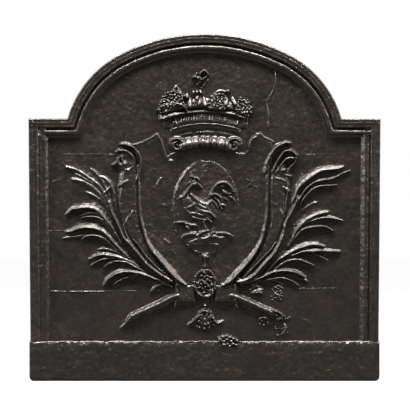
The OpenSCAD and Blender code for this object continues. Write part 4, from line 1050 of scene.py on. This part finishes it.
pearls = Field(-46, 82, 534, 592, 0.8)
PEARLS = [(-35, 570, 3.6, 5, 11), (-29, 556, 4.4, 10, 0), (-15, 566, 3.6, 4.5, 0), (-10, 557, 3.4, 6, -5),
    (0, 558, 4.2, 10, 14), (-22, 577, 2.6, 4, 0), (-15, 578, 2.6, 3.5, 0), (-8, 578, 2.6, 4.5, 20),
    (43, 559, 5.0, 9, 0), (58, 560, 4.2, 10, 26), (66, 552, 3.2, 5.5, 20), (83, 556, 4.2, 7.5, 35)]
pearls.line(bow(248, -8.2, 0.2, 8), 11, 8, 4.4, 0.95, 0.95)
pearls.line(bow(246, 9, 17, 8), 11, 8, 4.2, 0.95, 0.95)
for x, z, a, b, tilt in PEARLS:
    c, s = math.cos(math.radians(tilt)), math.sin(math.radians(tilt))
    u = ((pearls.x - x) * c + (pearls.z - z) * s) / a
    v = ((pearls.z - z) * c - (pearls.x - x) * s) / b
    body = 9.2 - 0.27 * b - 0.5 * b * v - 1.8 * u * u + 0.5 * b * 0.3
    pearls.add(np.where(u * u + v * v < 1.2, body * np.clip((1.2 - u * u - v * v) * 4, 0, 1) ** 0.5, LOW), 0.3)
carved("crown_pearls", pearls, crown_iron, spread=0.5, fillet=0.8, grain=0.1)

cross = Field(-28, 18, 580, 630, 0.8)
cross.lines(([(-8, 612), (-5, 618), (0, 620), (5, 616), (6, 611)], 2.6, 2.6, [8, 10, 10, 9, 7]),
    ([(-8, 606), (-14, 606), (-19, 608), (-23, 606)], 3, 3, [7, 9.5, 9.5, 6]),
    ([(-17, 611), (-15, 614)], 2.5, 2.5, 9), ([(-7, 602), (-1, 604), (3, 608)], 3, 3, [8, 9, 8]),
    ([(7, 602), (1, 594), (-6, 586)], 1.8, 1.8, [4, 4, 3]), ([(-8, 598), (-14, 592)], 1.8, 1.8, 3))
carved("crown_cross", cross, crown_iron, spread=0.6)

# ---- Knot ----------------------------------------------------------------------------------
# What ties the arms together below: a medal in a beaded ring, hung from a knob under the oval, a
# collar on each side of it, the palms' cut stalks, and a small three-leaved pendant underneath.
# Carved on the pattern and cast in iron with the plate.
knot_iron = cast_iron("knot_iron", rust=0.2, polish=0.85, grit=0.6, seed=23)

left_stalk = Field(-178, -50, 98, 188)
left_stalk.line([(-52, 171), (-62, 168), (-92, 153), (-118, 141), (-140, 131), (-147, 125)],
    [11, 11, 9, 8, 8, 6], 7.5, [10.5, 10, 9.6, 9, 8.4, 6], 0.6, 0.75)
left_stalk.rough((0.6, 7, 93), above=1)
left_stalk.line([(-60, 159), (-92, 144), (-122, 131), (-150, 118)], 3.5, 2.5, [5, 5.6, 5.6, 5])
left_stalk.line([(-146, 131), (-154, 120), (-158, 114), (-169, 104)], [4, 6, 4, 1.5], [4, 4, 3, 1.5],
    [10, 9, 6, 1.6])
left_stalk.groove([(-72, 160), (-100, 147), (-130, 132)], 1.2, 1.2)
carved("left_stalk", left_stalk, knot_iron)
right_stalk = Field(50, 166, 106, 188)
right_stalk.line([(54, 171), (64, 168), (98, 153), (119, 143), (140, 134), (148, 129)], 7.5,
    [11, 10, 9, 8, 8, 5], [10.5, 10, 9.6, 9, 8.4, 9], 0.75, 0.6)
right_stalk.rough((0.6, 7, 93), above=1)
right_stalk.line([(62, 158), (94, 144), (118, 133), (140, 125)], 2.5, 3.5, [5, 5.6, 5.6, 5])
right_stalk.line([(134, 143), (142, 140), (150, 137), (155, 131), (154, 124), (146, 122)], 2.8, 3.2,
    [10, 12.5, 12.5, 12, 11, 8])
right_stalk.dome(145, 130, 4, 3.5, 11).dome(150, 126, 3, 3, 11)
right_stalk.groove([(84, 158), (106, 147), (130, 136)], 1.2, 1.2)
carved("right_stalk", right_stalk, knot_iron)


def collar(name, inner, outer, drop):
    """A smooth collar from the medal out to a turned lip, which ends in a small point below."""
    f = Field(min(inner, outer) - 10, max(inner, outer) + 10, 138, 206, 0.9)
    way = 1 if outer > inner else -1
    near = np.minimum(np.minimum(way * (f.x - inner), way * (outer - f.x)), 19.5 - abs(f.z - 174.5))
    f.h = np.where(near > 0, 6.4 * np.clip(near / 7, 0, 1) ** 0.6 - 0.06 * (f.z - 174), LOW)
    f.line([(inner, 190), (0.5 * (inner + outer), 189), (outer, 193)], 3.4, 3.4, [5, 6.5, 9.8])
    f.line([(outer - way, 193), (outer, 186), (outer - way, 173), (outer, 160), (outer + 2 * way, 150),
                     drop], 3.2, 3.2, [9.5, 11, 11, 10.5, 10.5, 8])
    f.rough((0.3, 9, 77))
    carved(name, f, knot_iron, spread=1.3, fillet=2.0, grain=0.9)


collar("left_binding", -16, -57, (-61, 145))
collar("right_binding", 18, 62, (67, 146))

MEDAL, MEDAL_A, MEDAL_B = (1, 195), 24, 31
medal = Field(-28, 30, 158, 232, 0.8)
r = np.hypot((medal.x - MEDAL[0]) / MEDAL_A, (medal.z - MEDAL[1]) / MEDAL_B)
medal.h = np.where(r < 1, 8.5 * np.clip((1 - r) * 10, 0.3, 1) - 3.5 * np.clip((0.84 - r) * 6, 0, 1), LOW)
draw = np.random.default_rng(5)
LUMPS = 20
for k in range(LUMPS):
    a, far = 2.4 * k, 0.72 * math.sqrt((k + 0.5) / LUMPS)
    medal.dome(MEDAL[0] + 22 * far * math.cos(a), MEDAL[1] + 29 * far * math.sin(a), draw.uniform(3.6, 5.6),
               draw.uniform(2.0, 2.9), draw.uniform(9.5, 12), draw.uniform(-60, 60), soft=0.3, drop=3.5)
medal.dome(*MEDAL, 4.0, 4.6, 13.5)
medal.h += 1.3 * lumps(medal.x, medal.z, 4.2, 79) * (r < 0.85)
ring = round_at(MEDAL, 21.5, 28.5, np.linspace(0, 2 * math.pi, 60))
bead = row(ring, 7.2, pip(2.3, 3.8, 2.3, 4, 10), 30, 8, knot_iron)
carved("medal", medal, knot_iron, bead, spread=0.6)

knob = Field(-14, 16, 222, 262, 0.8)
knob.dome(1, 248, 9.5, 8.5, 11.5).dome(-4, 251, 4, 4, 13).dome(6, 247, 4, 4.5, 13)
knob.line([(1, 244), (1, 236), (1, 228)], [6, 4, 5], [6, 4, 5], [10, 8, 9.5])
carved("knob", knob, knot_iron, base=on_shield, spread=0.6)

drop = Field(-42, 48, 90, 158, 0.8)
drop.dome(1, 150, 4.5, 6, 9).dome(0, 124, 16, 17, 6.5)
drop.lines(([(-32, 113), (-25, 117), (-18, 124), (-9, 132)], 3, 4, [3, 6, 7.5, 8]),
    ([(36, 118), (27, 115), (20, 120), (12, 131)], 3, 4, [3, 6, 7, 8]),
    ([(-9, 135), (-3, 140), (4, 140), (11, 135)], 4, 4, 8.5),
    ([(-4, 136), (-6, 130), (-7, 124)], 2.4, 2.4, [8, 9.5, 8]),
    ([(5, 136), (6, 130), (9, 125)], 2.4, 2.4, [8, 9.5, 8]))
draw = np.random.default_rng(12)
for k, far in enumerate([13, 21, 29] * 7):
    a = math.radians(-90 + (k // 3 - 3) * 19 + draw.uniform(-5, 5))
    if far * abs(math.cos(a)) < 19:
        drop.dome(1 + far * math.cos(a), 137 + 1.15 * far * math.sin(a), draw.uniform(3.2, 4.6),
                  draw.uniform(2.0, 2.8), 10.5 - 0.16 * far + draw.uniform(-1, 1),
                  math.degrees(a) + draw.uniform(-30, 30), soft=0.3, drop=3.0)
carved("pendant", drop, knot_iron, spread=0.7)

# ---- Pebbles and scars ---------------------------------------------------------------------
# Where the sand gave way beside the knot the iron ran into clots of small pebbles and a few short
# curls, and a broken-off runner left a knobbly scar over the top edge of the band. All of it is
# one metal with the plate.


def scatter_tree():
    """Nodes that strew a piece over patches: density, gap, smallest size and seed are its inputs."""
    tree, given = new_tree("strewn_over_patches", "Patches", "Pebbles", Piece="Object", Density="Float",
                           Gap="Float", Smallest="Float", Seed="Int", Finish="Material")
    points = node(tree, "GeometryNodeDistributePointsOnFaces", "Points", {
        "Mesh": given["Patches"], "Distance Min": given["Gap"], "Density Max": given["Density"],
        "Seed": given["Seed"]}, distribute_method="POISSON")
    return set_out(tree, given, points)


def strewn(patches, lift, piece, gap, seed, finish):
    """The mesh parts, in mm, of pebbles over patches [x0, x1, z0, z1] of the ground."""
    corners, faces = [], []
    for x0, x1, z0, z1 in patches:
        n = len(corners)
        corners += [(x, FACE - ground(x, z) - lift, z) for x, z in ((x0, z0), (x1, z0), (x1, z1), (x0, z1))]
        faces.append((n, n + 1, n + 2, n + 3))
    return grown(SCATTER, closed_mesh("patches", corners, faces), Piece=piece, Density=PEBBLES_PER_M2,
                 Gap=gap * MM, Smallest=SMALLEST_PEBBLE, Seed=seed, Finish=finish)


SCATTER = scatter_tree()
PEBBLES_PER_M2, SMALLEST_PEBBLE = 5e4, 0.55
PATCHES = [(141, 167, 91, 109), (109, 131, 109, 125), (133, 155, 161, 187), (-100, -78, 180, 194),
    (150, 172, 118, 132)]
pebbles = strewn(PATCHES, 0.2, pip(2.8, 3.2, 2.6, 4, 9), 4.4, 9, knot_iron)
curls = Field(-110, 172, 96, 200, 0.8)
curls.lines(([(-101, 182), (-95, 189), (-86, 190), (-81, 184)], 2.6, 3, [3, 5, 5, 3]),
    ([(94, 183), (101, 188), (110, 186)], 4, 3, [3, 4, 3]),
    ([(97, 177), (105, 180), (113, 181)], 5, 3, [4, 6.5, 5]),
    ([(141, 187), (147, 190), (153, 186)], 2.2, 2.4, [2, 3.4, 3]),
    ([(139, 176), (146, 172), (150, 163)], 2, 2.4, [2, 3.4, 2]),
    ([(112, 124), (119, 127), (127, 122)], 2.6, 3, [4, 6, 4]), ([(160, 112), (163, 104), (158, 97)], 2, 2, 3.5))
curls.rough((1.2, 4.5, 91), above=1)
carved("pebbles", curls, knot_iron, pebbles, nodes=[], slot="ground", spread=0.6)

scar = Field(22, 74, 58, 102, 0.8)
scar.dome(48, 80, 21, 10, BAND_RISE + 0.3, -12)
draw = np.random.default_rng(21)
for x, z in [(31, 83), (37, 88), (44, 90), (51, 87), (58, 84), (65, 80), (53, 79), (45, 82), (38, 79), (46, 74),
             (57, 74), (39, 72), (50, 69), (64, 72)]:
    scar.dome(x, z, draw.uniform(4.0, 5.6), draw.uniform(3.0, 4.4), BAND_RISE + draw.uniform(1.8, 3.4),
              draw.uniform(-50, 50), soft=0.3, drop=3.2)
carved("runner_scar", scar, knot_iron, nodes=[], slot="ground", spread=0.5)

# ---- Floor, light and camera ---------------------------------------------------------------
# A pale floor under the foot, one broad soft lamp above and in front as the photograph has it,
# weak lamps at the sides and behind, and the camera square on at the height of the plate's middle.
FLOOR_HALF = 9
floor_mesh = bpy.data.meshes.new("floor")
floor_mesh.from_pydata([(FLOOR_HALF * x, FLOOR_HALF * y, 0) for x, y in ((-1, -1), (1, -1), (1, 1), (-1, 1))],
    [], [(0, 1, 2, 3)])
floor = bpy.data.objects.new("floor", floor_mesh)
bpy.context.scene.collection.objects.link(floor)
pale = bpy.data.materials.new("pale_floor")
pale.use_nodes = True
coat = pale.node_tree.nodes["Principled BSDF"]
for socket, value in (("Base Color", (0.07, 0.07, 0.07, 1)), ("Roughness", 0.9), ("Specular IOR Level", 0.1),
                      ("Emission Color", (1, 1, 1, 1))):
    coat.inputs[socket].default_value = value


def seen_white(tree, place, dim, bright):
    """How strong a background shows: white to the eye and through glass, and in gloss white too
    on the far side of the object, fading to `dim` on the near side, where a studio is dark."""
    def join(operation, a, b):
        return node(tree, "ShaderNodeMath", 0, {0: a, 1: b}, operation=operation)

    camera, through, gloss = (node(tree, "ShaderNodeLightPath", f"Is {ray} Ray")
                              for ray in ("Camera", "Transmission", "Glossy"))
    far = node(tree, "ShaderNodeMapRange", 0, {0: node(tree, "ShaderNodeSeparateXYZ", "Y", {0: place})})
    seen = join("MAXIMUM", join("MAXIMUM", camera, through), join("MULTIPLY", gloss, far))
    return node(tree, "ShaderNodeMapRange", 0, {0: seen, "To Min": dim, "To Max": bright})


place = node(pale.node_tree, "ShaderNodeTexCoord", "Object")
pale.node_tree.links.new(seen_white(pale.node_tree, place, 0.0, 0.94), coat.inputs["Emission Strength"])
floor_mesh.materials.append(pale)


AIM = Vector((0, 0, 0.35))
LAMP_TINT = (1.0, 0.965, 0.925)


def lamp(name, where, size, watts):
    """A rectangular lamp that is turned to the middle of the plate."""
    light = bpy.data.lights.new(name, "AREA")
    light.shape = "RECTANGLE"
    light.size, light.size_y = size
    light.energy = watts
    light.color = LAMP_TINT
    piece = bpy.data.objects.new(name, light)
    piece.location = where
    piece.rotation_euler = (AIM - Vector(where)).to_track_quat("-Z", "Y").to_euler()
    bpy.context.scene.collection.objects.link(piece)


lamp("overhead", (0, -0.66, 2.5), (2.2, 0.35), 205)
lamp("left_side", (-2.0, -0.6, 1.45), (0.4, 1.0), 42)
lamp("right_side", (2.0, -0.6, 1.45), (0.4, 1.0), 34)
lamp("behind", (0.8, 2.8, 2.4), (2.0, 1.4), 70)

world = bpy.data.worlds.new("studio")
bpy.context.scene.world = world
world.use_nodes = True
sky = world.node_tree
way = node(sky, "ShaderNodeTexCoord", "Generated")
sky.links.new(seen_white(sky, way, 0.05, 1.0), sky.nodes["Background"].inputs["Strength"])
sky.nodes["Background"].inputs["Color"].default_value = (1, 1, 1, 1)

CAMERA_FAR, VIEW_HIGH, SENSOR = 4.0, 0.830, 24
EYE_X, EYE_Z = 0.001, 0.3464
camera = bpy.data.cameras.new("camera")
camera.sensor_fit = "VERTICAL"
camera.sensor_height = SENSOR
camera.lens = SENSOR * CAMERA_FAR / VIEW_HIGH
eye = bpy.data.objects.new("camera", camera)
eye.location = (EYE_X, FACE * MM - CAMERA_FAR, EYE_Z)
eye.rotation_euler = (math.pi / 2, 0, 0)
bpy.context.scene.collection.objects.link(eye)
bpy.context.scene.camera = eye
bpy.context.scene.view_settings.view_transform = "Standard"
